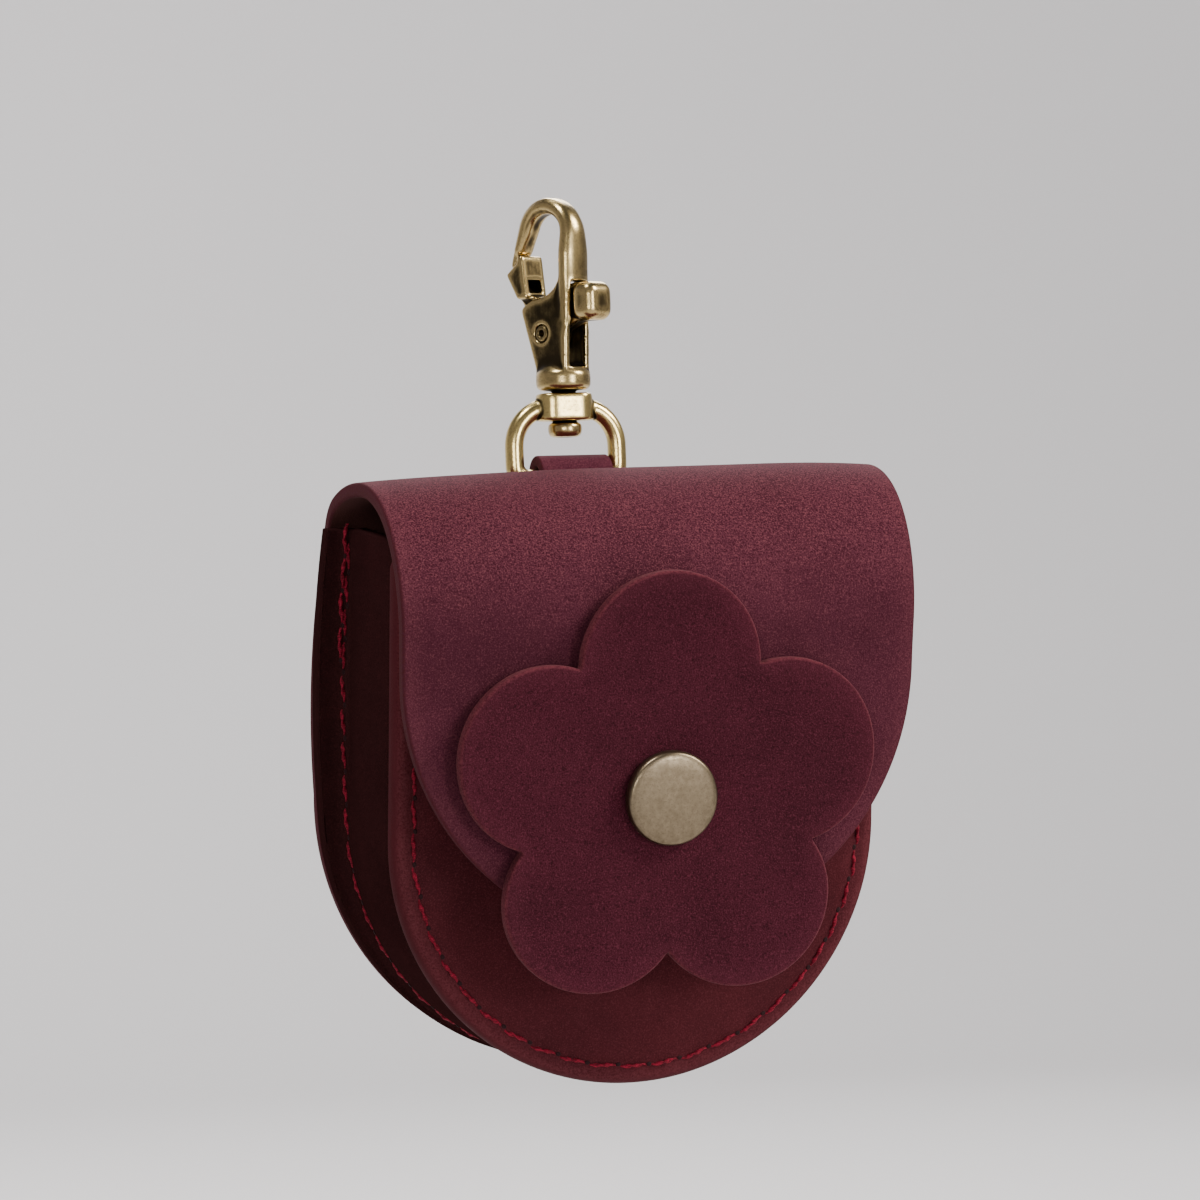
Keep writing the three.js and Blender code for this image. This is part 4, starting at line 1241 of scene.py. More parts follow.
def gusset_rows():
    """Points and marks of the gusset, row by row from one mouth round the bottom to the other."""
    leather = bpy.context.scene.pouch_leather
    front = bpy.context.scene.pouch_front
    half, corner = leather.thickness / 2, leather.corner
    lip = np.radians(np.linspace(90, 0, GUSSET_CORNER))
    side_steps, round_steps = 36, 120
    rows = []

    def side_row(side, share, reduce, drop, cut):
        section, marks = gusset_section(half - reduce)
        out, depth = section.T
        rise = np.clip((-2 * leather.thickness - front.gap - depth) / front.mouth_rise, 0, 1)
        mouth = front.mouth_back + (front.mouth_front - front.mouth_back) * rise - drop
        swell = 2 * share * (1 - share) * leather.back_swell
        edge = front.mouth_width + (back_edge(math.pi) - front.mouth_width) * share + swell
        height = mouth + (front.centre - mouth) * share
        points = np.column_stack([side * gusset_reach(out, edge), depth, height])
        rows.append((points, np.maximum(marks["cut"], cut), marks["under"]))

    def round_row(turn):
        section, marks = gusset_section(half)
        reach = gusset_reach(section[:, 0], back_edge(turn))
        points = np.column_stack([reach * np.cos(turn), section[:, 1], front.centre + reach * np.sin(turn)])
        rows.append((points, marks["cut"], marks["under"]))

    def lip_rows(side, turns):
        for turn in turns:
            side_row(side, 0, corner * (1 - math.cos(turn)), corner * (1 - math.sin(turn)), math.sin(turn))

    shares = np.linspace(0, 1, side_steps + 1)[1:-1]
    lip_rows(-1, lip)
    for share in shares:
        side_row(-1, share, 0, corner * (1 - share), 0)
    for turn in np.linspace(math.pi, 2 * math.pi, round_steps + 1):
        round_row(turn)
    for share in shares[::-1]:
        side_row(1, share, 0, corner * (1 - share), 0)
    lip_rows(1, lip[::-1])
    return rows


class POUCH_OT_gusset(Operator):
    """Gusset round the sides and bottom, flanged out at the back and in at the front"""

    bl_idname = "pouch.gusset"
    bl_label = "Gusset"

    def execute(self, context):
        thickness, away_from_edges = context.scene.pouch_leather.thickness, 10 * MM
        rows = gusset_rows()
        count = len(rows[0][0])
        points, cut, under = (np.concatenate(kind) for kind in zip(*rows))
        marks = {"cut": cut, "under": under, "inset": np.full(len(points), away_from_edges)}
        mesh = closed_mesh("gusset_leather", hung(points), tube_faces(len(rows), count), marks)
        piece = new_object("gusset_leather", mesh)
        finish_piece(piece, "pouch", "leather", finish_named("side_leather"), "gusset")
        section, _ = gusset_section(thickness / 2)
        width = along(section)[-1] / 2 - thickness
        run = along(np.array([row[0][count // 4] for row in rows]))[-1]
        return {"FINISHED"}


def flower_outline():
    """Flat outline of the flower, the directions in from it, and the edge of its hole."""
    flower = bpy.context.scene.pouch_flower
    turn = 2 * math.pi / flower.petals
    half = turn / 2
    apart = flower.petal_centre * math.sin(half)
    notch = flower.petal_centre * math.cos(half) + math.sqrt(flower.petal_radius**2 - apart**2)
    sweep = math.atan2(notch * math.sin(half), notch * math.cos(half) - flower.petal_centre)
    steps = 72
    outline, inward = [], []
    for petal in range(flower.petals):
        axis = math.pi / 2 + petal * turn
        centre = flower.petal_centre * np.array([math.cos(axis), math.sin(axis)])
        bow = np.linspace(axis - sweep, axis + sweep, steps + 1)[:-1]
        out = np.column_stack([np.cos(bow), np.sin(bow)])
        outline.append(centre + flower.petal_radius * out)
        inward.append(-out)
    outline, inward = np.concatenate(outline), np.concatenate(inward)
    hole_radius = flower.shank + bpy.context.scene.pouch_front.gap
    hole = outline / np.linalg.norm(outline, axis=1)[:, None] * hole_radius
    return outline, inward, hole


class POUCH_OT_flower(Operator):
    """Flower of round petals under the snap's cap"""

    bl_idname = "pouch.flower"
    bl_label = "Flower"

    def execute(self, context):
        leather = context.scene.pouch_leather
        flower = context.scene.pouch_flower
        outline, inward, hole = flower_outline()
        back = leather.flap_face - context.scene.pouch_front.gap
        middle = back - leather.thickness / 2
        tip = flower.petal_centre + flower.petal_radius
        follow_share, wave_reach = 0.7, 9 * MM
        dimple_to, lift_from, squat_to = 1.7 * flower.cap_radius, 0.4 * tip, 0.5 * tip

        def place(x, z, height):
            out = np.hypot(x, z)
            follow = follow_share * leather.bow * (x / leather.flap_radius) ** 2
            dimple = flower.dimple * (1 - smoothstep(out, flower.cap_radius, dimple_to))
            lift = flower.lift * smoothstep(out, lift_from, tip) + waves(x, z, wave_reach, leather.wave)
            depth = middle - height + follow + dimple - lift
            squat = 1 - flower.squat * smoothstep(-z, 0, squat_to)
            return hung(np.column_stack([x, depth, z * squat + flower.height]))

        shape = shell("flower_petals", outline, hole, place, leather.thickness, leather.corner, None, inward)
        finish_piece(shape, "pouch", "flower_leather", finish_named("petal_leather"), "flower")
        declare_cut(outline)
        return {"FINISHED"}


def tab_line():
    """Middle line of the tab in depth and height, with the bar's centre at (0, 0), and its normals."""
    tab = bpy.context.scene.pouch_tab
    front = bpy.context.scene.pouch_front
    loop = bpy.context.scene.pouch_clasp.wire + front.gap + tab.thickness / 2
    back_leg = -loop + tab.thickness + front.gap
    half_way = -tab.joins / 2
    join = ((loop, 0), (loop, half_way), (back_leg, half_way), (back_leg, -tab.joins))
    points = np.concatenate(
        [
            line((-loop, -tab.drop), (-loop, 0), 60),
            arc((0, 0), loop, 180, 0, 48)[:-1],
            bezier(join, 40)[:-1],
            line((back_leg, -tab.joins), (back_leg, -tab.drop), 40),
            [(back_leg, -tab.drop)],
        ]
    )
    ahead = directions(points)
    return points, np.column_stack([-ahead[:, 1], ahead[:, 0]])


def rounded_strip(half_width, run, corner):
    """Outline of a strip with round corners, from y = 0 to run, and the spine that it shrinks to."""
    side = half_width - corner
    step = 0.6 * MM
    along_steps, across_steps, corner_steps = int(run / step), 16, 6
    outline = np.concatenate(
        [
            line((-side, 0), (side, 0), across_steps),
            arc((side, corner), corner, -90, 0, corner_steps)[:-1],
            line((half_width, corner), (half_width, run - corner), along_steps),
            arc((side, run - corner), corner, 0, 90, corner_steps)[:-1],
            line((side, run), (-side, run), across_steps),
            arc((-side, run - corner), corner, 90, 180, corner_steps)[:-1],
            line((-half_width, run - corner), (-half_width, corner), along_steps),
            arc((-side, corner), corner, 180, 270, corner_steps)[:-1],
        ]
    )
    return outline, spine_of(outline, half_width, run - half_width)


def tab_place(points, normals):
    """How the tab's flat strip is laid along its middle line, in the pouch's own frame."""
    hang = bpy.context.scene.pouch_hang
    to_pouch = np.array([0, hang.behind_back, -hang.below_crest])

    def place(x, y, height):
        return np.column_stack([x, laid(points, normals, y, height)]) + to_pouch

    return place


class POUCH_OT_ring_tab(Operator):
    """Leather tab looped round the ring's bar and sewn to the back"""

    bl_idname = "pouch.ring_tab"
    bl_label = "Ring tab"

    def execute(self, context):
        tab = context.scene.pouch_tab
        points, normals = tab_line()
        run = along(points)[-1]
        outline, spine = rounded_strip(tab.width / 2, run, tab.end_corner)
        place = tab_place(points, normals)

        def hung_place(x, y, height):
            return hung(place(x, y, height))

        piece = shell("ring_tab_leather", outline, spine, hung_place, tab.thickness, tab.corner)
        finish_piece(piece, "pouch", "leather", finish_named("napped_leather"), "ring_tab")
        declare_cut(outline)
        return {"FINISHED"}


# Seams on the leather


def round_path(radius, top):
    """A seam's path (x, z): down one side, round the bottom at radius(turn), and up the other side."""
    centre = bpy.context.scene.pouch_front.centre
    round_steps, side_steps = 140, 60
    turns = np.linspace(math.pi, 2 * math.pi, round_steps)
    reach = radius(turns)
    bottom = np.column_stack([reach * np.cos(turns), centre + reach * np.sin(turns)])
    left = line((bottom[0, 0], top), bottom[0], side_steps)
    right = line(bottom[-1], (bottom[-1, 0], top), side_steps)[1:]
    return np.concatenate([left, bottom, right])


class POUCH_OT_front_seam(Operator):
    """Seam that holds the front panel to the gusset"""

    bl_idname = "pouch.front_seam"
    bl_label = "Front seam"

    def execute(self, context):
        front = context.scene.pouch_front
        thread = context.scene.pouch_thread
        sunk = 0.6 * thread.groove

        def radius(turn):
            return np.full(len(turn), front.radius - thread.front_margin)

        x, z = round_path(radius, front.top - thread.front_end).T
        depth = front_depth(x, z) + sunk
        slope = 2 * front.dome / front.radius**2
        lift = np.column_stack([slope * x, np.full(len(x), -1), slope * np.minimum(0, z - front.centre)])
        sew("front_seam", [(np.column_stack([x, depth, z]), lift)])
        return {"FINISHED"}


def flange_path(margin, top):
    """Path of a seam on the gusset's outer side, a margin from its back edge and below a height."""
    path, slope = [], []
    ahead, rim = 0.3 * MM, 2 * GUSSET_CORNER
    for points, _, under in gusset_rows():
        inner = int(under.sum())
        outer = points[-inner - rim : -rim][::-1]
        run = along(outer)
        at, past = (
            np.array([np.interp(reach, run, axis) for axis in outer.T])
            for reach in (margin, margin + ahead)
        )
        path.append(at)
        slope.append(past - at)
    path, slope = np.array(path), np.array(slope)
    shown = path[:, 2] < top
    path, slope = path[shown], slope[shown]
    lift = np.cross(slope, np.gradient(path, axis=0))
    outward = path - path.mean(axis=0)
    outward[:, 1] = -np.hypot(outward[:, 0], outward[:, 2])
    lift *= np.sign((lift * outward).sum(axis=1, keepdims=True))
    return path, lift / np.linalg.norm(lift, axis=1, keepdims=True)


class POUCH_OT_back_seam(Operator):
    """Seam that holds the gusset's flange to the back, seen on both sides"""

    bl_idname = "pouch.back_seam"
    bl_label = "Back seam"

    def execute(self, context):
        front = context.scene.pouch_front
        thread = context.scene.pouch_thread

        def radius(turn):
            return back_edge(turn) - thread.back_margin

        locked_run, beside = 3.2 * thread.pitch, 1.6 * thread.radius
        top = front.mouth_back - thread.back_end
        x, z = round_path(radius, top).T
        back = np.column_stack([x, np.zeros(len(x)), z])
        path, lift = flange_path(thread.back_margin, top)
        run = along(path)
        locked = np.minimum(run, run[-1] - run) < locked_run
        paths = [(back, np.tile([0, 1, 0], (len(x), 1))), (path, lift)]
        for side in (-1, 1):
            ends = locked & (side * path[:, 0] > 0)
            doubled = np.array([side * beside, 0, thread.pitch / 2])
            paths.append((path[ends] + doubled, lift[ends]))
        sew("back_seam", paths)
        return {"FINISHED"}


class POUCH_OT_tab_seam(Operator):
    """Box of stitches that holds the tab to the back"""

    bl_idname = "pouch.tab_seam"
    bl_label = "Tab seam"

    def execute(self, context):
        tab = context.scene.pouch_tab
        thread = context.scene.pouch_thread
        points, normals = tab_line()
        run = along(points)[-1]
        step, box_stitches, side_points = thread.tab_pitch, 3, 9
        side, low = tab.width / 2 - thread.tab_margin, run - thread.tab_margin
        high = low - box_stitches * step
        corners = np.array([(-side, low), (side, low), (side, high), (-side, high)])
        place = tab_place(points, normals)
        paths = []
        for start, end in zip(corners, np.roll(corners, -1, axis=0)):
            inset = (end - start) / np.linalg.norm(end - start) * step / 2
            x, y = np.linspace(start + inset, end - inset, side_points).T
            path = place(x, y, np.full(side_points, tab.thickness / 2))
            paths.append((path, np.tile([0, 1, 0], (side_points, 1))))
        sew("tab_seam", paths, step)
        return {"FINISHED"}


# Metal


def turned_piece(name, profile, matrix, corner):
    """A turned piece with softened corners, set in its place and evenly darkened."""
    mesh = turned(name, rounded(profile, corner))
    mesh.transform(matrix)
    mark_points(mesh, "recess", np.full(len(mesh.vertices), TURNED_RECESS))
    return new_object(name, mesh)


class POUCH_OT_snap(Operator):
    """Snap fastener: plain cap with its socket, and the stud on the front panel"""

    bl_idname = "pouch.snap"
    bl_label = "Snap"

    def execute(self, context):
        leather = context.scene.pouch_leather
        front = context.scene.pouch_front
        flower = context.scene.pouch_flower
        petals_face = -leather.flap_face + front.gap + leather.thickness
        cap_face = petals_face + front.gap + flower.cap_height
        dome, edge, corner = 0.22 * MM, 0.8 * MM, 0.3 * MM
        lip, pressed, hollow = 0.5 * MM, 0.15 * MM, 0.1 * MM
        socket_front = -leather.flap_face - leather.thickness - front.gap
        socket_back = socket_front - flower.socket_height
        radius = flower.cap_radius
        cap = [
            (0, cap_face),
            (0.35 * radius, cap_face - 0.12 * dome),
            (0.70 * radius, cap_face - 0.5 * dome),
            (radius - edge, cap_face - dome),
            (radius - 0.3 * edge, cap_face - dome - 0.25 * edge),
            (radius, cap_face - dome - edge),
            (radius - 0.1 * lip, petals_face - hollow),
            (radius - lip, petals_face - pressed),
            (radius - 1.2 * lip, petals_face + hollow),
            (flower.shank, petals_face + hollow),
            (flower.shank, socket_front),
            (flower.socket_radius, socket_front),
            (flower.socket_radius, socket_back),
            (0, socket_back),
        ]
        panel = -front.face + front.dome
        stud_front, stud_back = socket_back - front.gap, panel + front.gap
        rivet_front = panel - leather.thickness - front.gap
        rivet_back = rivet_front - flower.rivet_height
        stud = [
            (0, stud_front),
            (flower.stud_radius, stud_front),
            (flower.stud_radius, stud_back),
            (flower.shank, stud_back),
            (flower.shank, rivet_front),
            (flower.socket_radius, rivet_front),
            (flower.socket_radius, rivet_back),
            (0, rivet_back),
        ]
        for node, profile in (("snap_cap", cap), ("snap_stud", stud)):
            piece = turned_piece(f"{node}_plain", profile, snap_matrix(), corner)
            finish_piece(piece, "pouch", "snap_brass", finish_named("cap_brass"), node)
        return {"FINISHED"}


def millimetres(values):
    """Sizes in metres, as the millimetres of the castings."""
    return np.asarray(values) / MM


def hook_outlines():
    """Outlines of the whole hook and of its cheeks alone in millimetres (u, z)."""
    clasp = bpy.context.scene.pouch_clasp
    crown_u, crown_z, crown = millimetres(clasp.crown)
    inner_u, inner_z, inner = millimetres(clasp.crown_inner)
    nose_u, nose_z = millimetres(clasp.nose)
    lip = millimetres(clasp.nose_inner)
    foot, foot_z, left, top = millimetres((clasp.foot, clasp.foot_z, clasp.cheek_left, clasp.cheek_top))
    sweep = math.degrees(clasp.crown_sweep)
    corner, shoulder_in, shoulder_drop = 0.7, 0.2, 2
    spine = inner_u + inner
    throat = bezier(((spine, nose_z), (spine, top + corner), (inner_u - inner / 2, top + corner)), 12)
    feet = [(-foot, foot_z), (foot, foot_z)]
    cheek = [(left + corner, top), (left, top - corner)]
    loop = [
        arc((crown_u, crown_z), crown, 0, sweep, 40),
        [(nose_u, nose_z + corner), (nose_u + corner / 2, nose_z), lip],
        arc((inner_u, inner_z), inner, sweep, 0, 32),
    ]
    shoulder_end = (crown_u + crown - shoulder_in, crown_z - shoulder_drop)
    shoulder = line((foot, foot_z), shoulder_end, 16)[1:]
    return np.concatenate([feet, *loop, throat, cheek]), np.concatenate([feet, shoulder, throat, cheek])


def narrowed(mesh, share, low, high):
    """A plate that narrows upwards, from its width at low to a share of it at high."""
    for vertex in mesh.vertices:
        vertex.co.y *= 1 - (1 - share) * smoothstep(vertex.co.z, low, high)
    return mesh


def wire_tube(points, flat, deep, sides=28):
    """A closed tube in millimetres along a line (x, z), from half its thickness and half its depth."""
    ahead = directions(points)
    across = np.column_stack([ahead[:, 1], np.zeros(len(points)), -ahead[:, 0]])
    turn = np.linspace(0, 2 * math.pi, sides, endpoint=False)
    centre = np.column_stack([points[:, 0], np.zeros(len(points)), points[:, 1]])
    flat, deep = np.broadcast_to(flat, len(points)), np.broadcast_to(deep, len(points))
    rows = [
        at + np.outer(thin * np.cos(turn), side) + np.outer(wide * np.sin(turn), (0, 1, 0))
        for at, side, thin, wide in zip(centre, across, flat, deep)
    ]
    return closed_mesh("wire", np.concatenate(rows), tube_faces(len(rows), sides), weld=CAST_WELD)


def crown_rod():
    """Rod of the hook, up the spine, over the crown and down to the nose, in millimetres."""
    clasp = bpy.context.scene.pouch_clasp
    outer, inner = millimetres(clasp.crown), millimetres(clasp.crown_inner)
    centre, radius = (outer[:2] + inner[:2]) / 2, (outer[2] + inner[2]) / 2
    sweep = math.degrees(clasp.crown_sweep)
    nose = (millimetres(clasp.nose) + millimetres(clasp.nose_inner)) / 2
    bow = arc(centre, radius, 0, sweep, 48)
    lean, nose_share = 0.35, 0.72
    rise = bow[0] - (lean, -clasp.cheek_top / MM)
    fall = bow[-1] + nose_share * (nose - bow[-1])
    points = np.concatenate([line(rise, bow[0], 24), bow[:-1], line(bow[-1], fall, 12)])
    run = along(points) / along(points)[-1]
    stations = (0.35, 0.5, 0.65, 1)
    thick, wide = millimetres(clasp.rod_thick), millimetres(clasp.rod_wide)
    return wire_tube(points, np.interp(run, stations, thick) / 2, np.interp(run, stations, wide) / 2)


def block(low, high):
    """A box in millimetres between two corners."""
    (u0, v0, z0), (u1, v1, z1) = low, high
    outline = np.array([(u0, z0), (u1, z0), (u1, z1), (u0, z1)])
    mesh = plate(outline, v1 - v0)
    mesh.transform(Matrix.Translation((0, (v0 + v1) / 2, 0)))
    return mesh


def pad(low, high, soft):
    """A box in millimetres between two corners, with its edges rounded by a soft radius."""
    low, high = np.array(low), np.array(high)
    ball = bmesh.new()
    bmesh.ops.create_icosphere(ball, subdivisions=5, radius=1)
    for vertex in ball.verts:
        ray = np.array(vertex.co)
        vertex.co = Vector((low + high) / 2 + np.sign(ray) * ((high - low) / 2 - soft) + soft * ray)
    mesh = bpy.data.meshes.new("pad")
    ball.to_mesh(mesh)
    ball.free()
    return mesh


def rod(name, radius, width):
    """A round rod in millimetres along the height, as long as its width about the middle."""
    half = width / 2
    return turned(name, [(0, -half), (radius, -half), (radius, half), (0, half)], 48)


def across_hook(u, z):
    """From a turned piece's own frame to a place in the hook's plane, with its axis across the plane."""
    return Matrix.Translation((u, 0, z)) @ Matrix.Rotation(math.pi / 2, 4, "X")


def cross_rod(u, z, radius, width):
    """A round rod across the hook's plane, in millimetres."""
    mesh = rod("rod", radius, width)
    mesh.transform(across_hook(u, z))
    return mesh


def cast_piece(node, body, solids, cutters, soft):
    """A casting of the clasp that stands for a node, set in its place with its finish."""
    name = f"{node}_cast"
    mesh = cast(name, solids, cutters, soft)
    mesh.transform(clasp_matrix())
    finish_piece(new_object(name, mesh), body, "clasp_brass", finish_named("antique_brass"), node)


def pin_place():
    """The lever's pin in the hook's plane (u, z), in millimetres."""
    back = clasp_matrix().inverted() @ Vector(PIN)
    return back.x, back.z


class POUCH_OT_clasp_body(Operator):
    """Hook, cheeks, collar and post of the clasp, cast in one"""

    bl_idname = "pouch.clasp_body"
    bl_label = "Clasp body"

    def execute(self, context):
        clasp = context.scene.pouch_clasp
        width, slot, foot_edge = millimetres((clasp.thickness, clasp.slot, clasp.collar_edge))
        collar, collar_top, collar_low = millimetres((clasp.collar, clasp.collar_top, clasp.collar_bottom))
        post, head, head_low = millimetres((clasp.post, clasp.head, clasp.head_bottom))
        head_top = millimetres(clasp.eye_top - clasp.eye_height - context.scene.pouch_front.gap)
        into_cheeks = 0.6
        foot_top = collar_top + into_cheeks
        foot = [
            (0, head_low),
            (head - foot_edge, head_low),
            (head, head_low + foot_edge),
            (head, head_top),
            (post, head_top),
            (post, collar_low),
            (collar - foot_edge, collar_low),
            (collar, collar_low + foot_edge),
            (collar, collar_top - foot_edge),
            (collar - foot_edge, collar_top),
            (clasp.foot / MM, foot_top),
            (0, foot_top),
        ]
        outline, cheeks = hook_outlines()
        web = plate(outline, clasp.web / MM)
        narrow_share, narrow_from, narrow_to = 0.5, -12, -5
        body = narrowed(plate(cheeks, width), narrow_share, narrow_from, narrow_to)
        reach = 4 * width
        low, high = millimetres((clasp.slot_bottom, clasp.slot_top))
        window = block((-reach, -slot / 2, low), (reach, slot / 2, high))
        hole = cross_rod(*pin_place(), (clasp.pin_radius + clasp.pin_clearance) / MM, 2 * width)
        solids = [web, body, crown_rod(), turned("foot", foot, 64)]
        cast_piece("clasp_body", "clasp", solids, [window, hole], HOOK_POLISH)
        return {"FINISHED"}


class POUCH_OT_clasp_lever(Operator):
    """Lever of the clasp: channel-shaped gate, eye on the pin and thumb pad"""

    bl_idname = "pouch.clasp_lever"
    bl_label = "Clasp lever"

    def execute(self, context):
        clasp = context.scene.pouch_clasp
        gap = context.scene.pouch_front.gap / MM
        nose_u, nose_z = millimetres(clasp.nose)
        lip_u, lip_z = millimetres(clasp.nose_inner)
        left, top, foot = millimetres((clasp.cheek_left, clasp.cheek_top, clasp.foot))
        wall, deep, lip, lip_deep, out = millimetres(clasp.gate_sizes)
        gate_width, lever_width, eye = millimetres((clasp.gate, clasp.lever, clasp.lever_eye))
        thumb_out, thumb_in, thumb_height, thumb_width = millimetres(clasp.thumb)
        thumb_top = clasp.slot_top / MM - gap
        inside_pad = 1
        thumb_low, arm_end = thumb_top - thumb_height, thumb_out - inside_pad
        pin_u, pin_z = pin_place()
        head_outer, head_lip, head_top = nose_z - 2 * gap, lip_u + 2 * gap, lip_z - gap
        foot_left, foot_low = left - out, top + out
        foot_right = foot_left + deep
        gate = [
            (foot_left, foot_low),
            (foot_right, foot_low),
            (head_lip + lip_deep, head_top + lip),
            (head_lip, head_top + lip),
            (head_lip, head_top),
            (nose_u, head_outer),
        ]
        channel = [
            (foot_left + wall, foot_low + wall),
            (foot_right + wall, foot_low + wall),
            (head_lip + deep, head_outer - wall),
            (nose_u + wall, head_outer - wall),
        ]
        arm = [
            (pin_u - eye, pin_z),
            (pin_u + eye, pin_z),
            (thumb_in, thumb_low),
            (arm_end, thumb_low),
            (arm_end, thumb_top),
            (foot, thumb_top),
            (0, top),
            (foot_right, foot_low + wall / 2),
            (foot_left, foot_low + wall / 2),
            (foot_left, foot_low),
        ]
        solids = [
            plate(np.array(gate), gate_width),
            plate(np.array(arm), lever_width),
            cross_rod(pin_u, pin_z, eye, lever_width),
            pad(
                (thumb_in, -thumb_width / 2, thumb_low),
                (thumb_out, thumb_width / 2, thumb_top),
                clasp.thumb_soft / MM,
            ),
        ]
        hollow = plate(np.array(channel), gate_width - 2 * wall)
        hole = cross_rod(pin_u, pin_z, (clasp.pin_radius + clasp.pin_clearance) / MM, 2 * gate_width)
        cast_piece("clasp_lever", "lever", solids, [hollow, hole], LEVER_POLISH)
        return {"FINISHED"}


class POUCH_OT_lever_pin(Operator):
    """Hollow-ended pin that the lever turns on"""

    bl_idname = "pouch.lever_pin"
    bl_label = "Lever pin"

    def execute(self, context):
        clasp = context.scene.pouch_clasp
        half, radius, bore = millimetres((clasp.thickness / 2, clasp.pin_radius, clasp.pin_bore))
        deep, worn, raised, corner = 1.2, 0.05, 0.08, 0.12
        rim = [
            (0, half - deep),
            (bore, half - deep),
            (bore, half - worn),
            ((bore + radius) / 2, half + raised),
            (radius, half - worn),
        ]
        profile = rim + [(r, -h) for r, h in rim[::-1]]
        place = clasp_matrix() @ across_hook(*pin_place())
        piece = turned_piece("lever_pin_riveted", profile, place, corner)
        finish_piece(piece, "clasp", "clasp_brass", finish_named("antique_brass"), "lever_pin")
        return {"FINISHED"}


class POUCH_OT_swivel_ring(Operator):
    """Ring of round wire with the eye that turns on the clasp's post"""

    bl_idname = "pouch.swivel_ring"
    bl_label = "Swivel ring"

    def execute(self, context):
        clasp = context.scene.pouch_clasp
        wire, half, shoulder, corner = millimetres(
            (clasp.wire, clasp.ring_width, clasp.ring_shoulder, clasp.ring_corner)
        )
        top, height = millimetres((clasp.eye_top, clasp.eye_height))
        width, depth, soft = millimetres((clasp.eye_width, clasp.eye_depth, clasp.eye_corner))
        bore_radius = millimetres(clasp.post + context.scene.pouch_front.gap)
        middle = top - height / 2
        bar = BAR[2] / MM
        right = np.concatenate(
            [
                line((0, middle), (half - shoulder, middle), 6),
                arc((half - shoulder, middle - shoulder), shoulder, 90, 0, 24)[:-1],
                line((half, middle - shoulder), (half, bar + corner), 10),
                arc((half - corner, bar + corner), corner, 0, -90, 14)[:-1],
                line((half - corner, bar), (0, bar), 14),
            ]
        )
        mirrored = right[:0:-1] * np.array([-1, 1])
        path = np.concatenate([right, [(0, bar)], mirrored, [(0, middle)]])
        corners = ((1, 1, 0), (-1, 1, 90), (-1, -1, 180), (1, -1, 270))
        across, along_depth = width / 2 - soft, depth / 2 - soft
        eye_outline = np.concatenate(
            [
                arc((side_x * across, side_y * along_depth), soft, start, start + 90, 8)
                for side_x, side_y, start in corners
            ]
        )
        eye = plate(eye_outline, height)
        eye.transform(across_hook(0, middle))
        bore = rod("bore", bore_radius, 2 * height)
        bore.transform(Matrix.Translation((0, 0, middle)))
        mesh = cast("swivel_ring_cast", [wire_tube(path, wire, wire), eye], [bore], RING_POLISH, RING_WEAR_AND_REFLECTION)
        mesh.transform(Matrix.Scale(MM, 4))
        piece = new_object("swivel_ring_cast", mesh)
        finish_piece(piece, "ring", "clasp_brass", finish_named("ring_brass"), "swivel_ring")
        return {"FINISHED"}


# Stage

WARM, COOL, ROSY, PALE = (1.0, 0.95, 0.90), (0.98, 0.97, 1.0), (1.0, 0.95, 0.95), (1.0, 0.98, 0.96)

# Place, width and height in metres, power in watts and tint of each lamp that is turned to the pouch
LAMPS = {
    "key": ((0.86, -0.50, 0.62), (0.42, 0.42), 4.5, WARM),
    "front": ((0.38, -1.0, 0.02), (0.28, 0.28), 1.0, COOL),
    "strip": ((-0.46, -1.0, 0.0), (0.44, 0.11), 0.62, PALE),
    "top": ((-0.38, -0.16, 0.82), (0.2, 0.2), 1.5, PALE),
    "fill": ((-0.50, -0.75, -0.40), (0.4, 0.4), 0.2, ROSY),
    "rim": ((0.35, 0.75, 0.6), (0.5, 0.5), 2.4, PALE),
}
LAMP_SPREAD = 90

# The lamp that is turned to the wall
BACKDROP = ((0.0, 0.35, 0.75), (0.5, 0.5), 10, PALE)
BACKDROP_AIM = (0.1, 1.2, -0.1)
BACKDROP_SPREAD = 140

AIR_COLOUR = (0.9, 0.93, 1.0, 1)
AIR_STRENGTH = 0.08


def soft_box(name, place, size, power, tint, aim, spread):
    """An area light of a width and height at a place, turned to an aim, with its spread in degrees."""
    light = bpy.data.lights.new(name, "AREA")
    light.shape = "RECTANGLE"
    light.size, light.size_y = size
    light.energy = power
    light.color = tint
    light.spread = math.radians(spread)
    lamp = new_object(name, light)
    lamp.location = place
    lamp.rotation_euler = (Vector(aim) - Vector(place)).to_track_quat("-Z", "Y").to_euler()


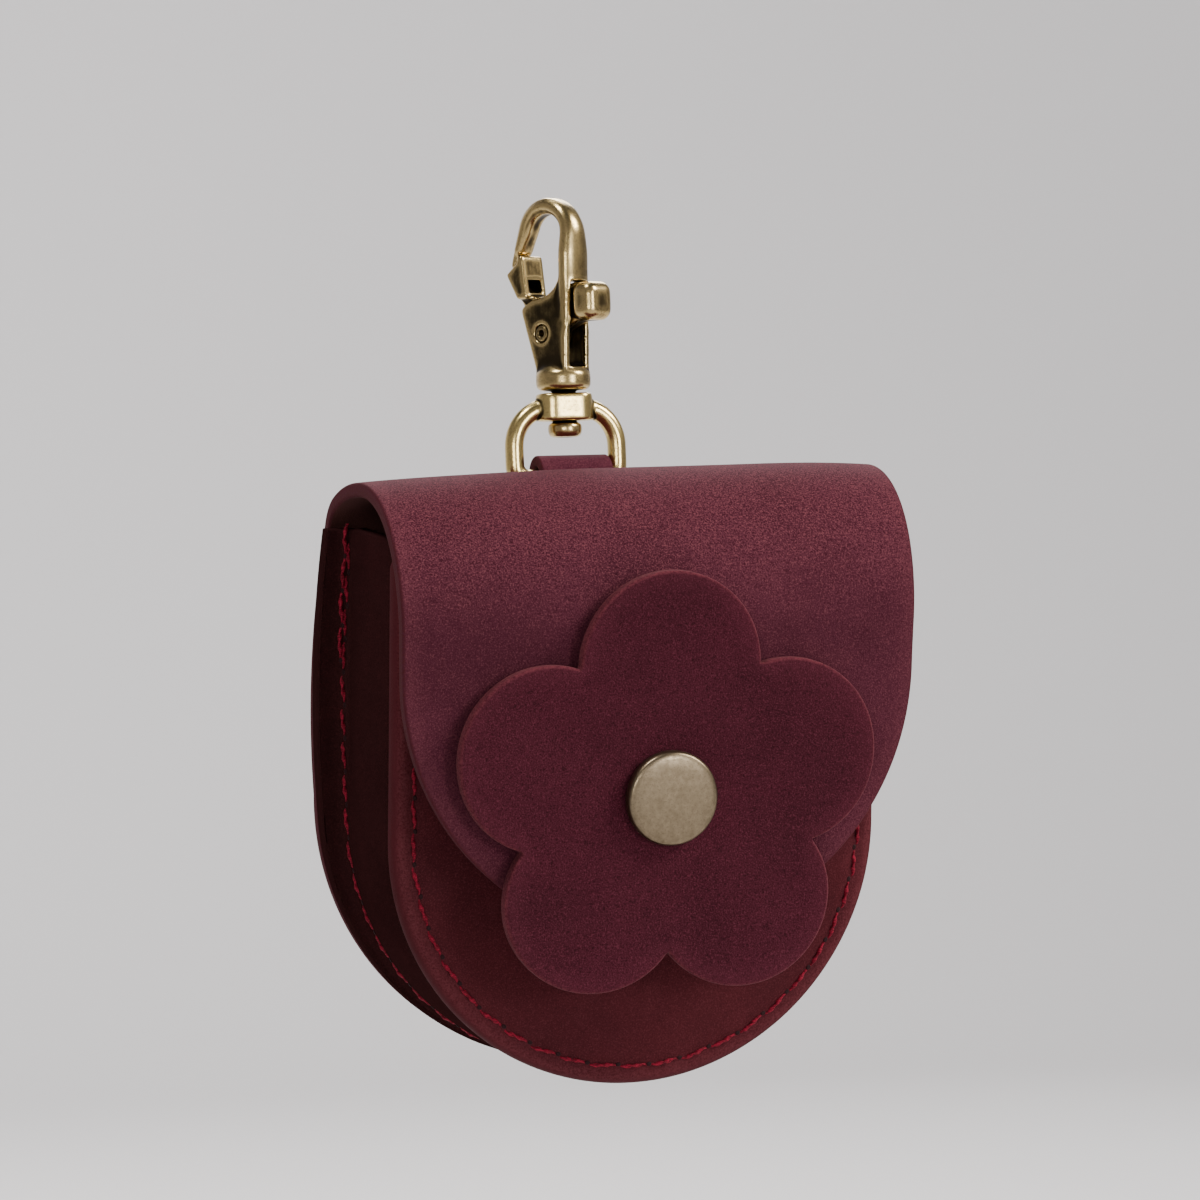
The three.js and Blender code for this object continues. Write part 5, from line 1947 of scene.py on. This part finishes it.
class POUCH_OT_stage(Operator):
    """Round pale studio, soft lights and the camera"""

    bl_idname = "pouch.stage"
    bl_label = "Stage"

    def execute(self, context):
        stage = context.scene.pouch_stage
        cove_points = arc((stage.radius - stage.cove, stage.floor + stage.cove), stage.cove, -90, 0, 24)
        floor_ring = 0.3 * stage.radius
        floor = [(0, stage.floor), (floor_ring, stage.floor)]
        profile = [*floor, *cove_points, (stage.radius, stage.floor + stage.wall)]
        studio = new_object("studio", turned("studio", profile))
        studio.data.materials.append(finish_named("studio_paint"))
        aim = Vector(stage.aim)
        for name, lamp in LAMPS.items():
            soft_box(name, *lamp, aim, LAMP_SPREAD)
        soft_box("backdrop", *BACKDROP, BACKDROP_AIM, BACKDROP_SPREAD)
        world = bpy.data.worlds.new("studio_air")
        world.use_nodes = True
        air = world.node_tree.nodes["Background"].inputs
        air["Color"].default_value = AIR_COLOUR
        air["Strength"].default_value = AIR_STRENGTH
        context.scene.world = world
        self.add_camera(context, stage, aim)
        return {"FINISHED"}

    def add_camera(self, context, stage, aim):
        """A camera at the stage's angles, upright but for its roll."""
        level, rise = math.cos(stage.elevation), math.sin(stage.elevation)
        back = Vector((math.sin(stage.azimuth) * level, -math.cos(stage.azimuth) * level, rise))
        right = Vector((0, 0, 1)).cross(back).normalized()
        upright = back.cross(right)
        up = upright * math.cos(stage.roll) + right * math.sin(stage.roll)
        side = up.cross(back)
        nearest = 0.01
        view = bpy.data.cameras.new("camera")
        view.lens = stage.lens
        view.sensor_width = stage.sensor
        view.clip_start = nearest
        camera = new_object("camera", view)
        turn = Matrix((side, up, back)).transposed().to_4x4()
        camera.matrix_world = Matrix.Translation(aim + back * stage.distance) @ turn
        context.scene.camera = camera


# Add-on

GROUPS = {
    "pouch_hang": PouchHang,
    "pouch_leather": PouchLeather,
    "pouch_front": PouchFront,
    "pouch_flower": PouchFlower,
    "pouch_tab": PouchTab,
    "pouch_thread": PouchThread,
    "pouch_clasp": PouchClasp,
    "pouch_colours": PouchColours,
    "pouch_stage": PouchStage,
}

OPERATORS = (
    POUCH_OT_back_flap,
    POUCH_OT_front_panel,
    POUCH_OT_gusset,
    POUCH_OT_flower,
    POUCH_OT_ring_tab,
    POUCH_OT_front_seam,
    POUCH_OT_back_seam,
    POUCH_OT_tab_seam,
    POUCH_OT_snap,
    POUCH_OT_clasp_body,
    POUCH_OT_clasp_lever,
    POUCH_OT_lever_pin,
    POUCH_OT_swivel_ring,
    POUCH_OT_stage,
)


class POUCH_PT_sidebar(Panel):
    """Buttons that build the pouch piece by piece"""

    bl_idname = "POUCH_PT_sidebar"
    bl_label = "Leather Pouch"
    bl_space_type = "VIEW_3D"
    bl_region_type = "UI"
    bl_category = "Pouch"

    def draw(self, context):
        for operator in OPERATORS:
            self.layout.operator(operator.bl_idname)


def register():
    for name, group in GROUPS.items():
        bpy.utils.register_class(group)
        setattr(bpy.types.Scene, name, PointerProperty(type=group))
    for operator in OPERATORS:
        bpy.utils.register_class(operator)
    bpy.utils.register_class(POUCH_PT_sidebar)


def unregister():
    bpy.utils.unregister_class(POUCH_PT_sidebar)
    for operator in reversed(OPERATORS):
        bpy.utils.unregister_class(operator)
    for name, group in reversed(GROUPS.items()):
        delattr(bpy.types.Scene, name)
        bpy.utils.unregister_class(group)


def main():
    """Builds every piece and the stage."""
    register()
    for operator in OPERATORS:
        name = operator.bl_idname.split(".")[1]
        getattr(bpy.ops.pouch, name)()


if __name__ == "__main__":
    main()
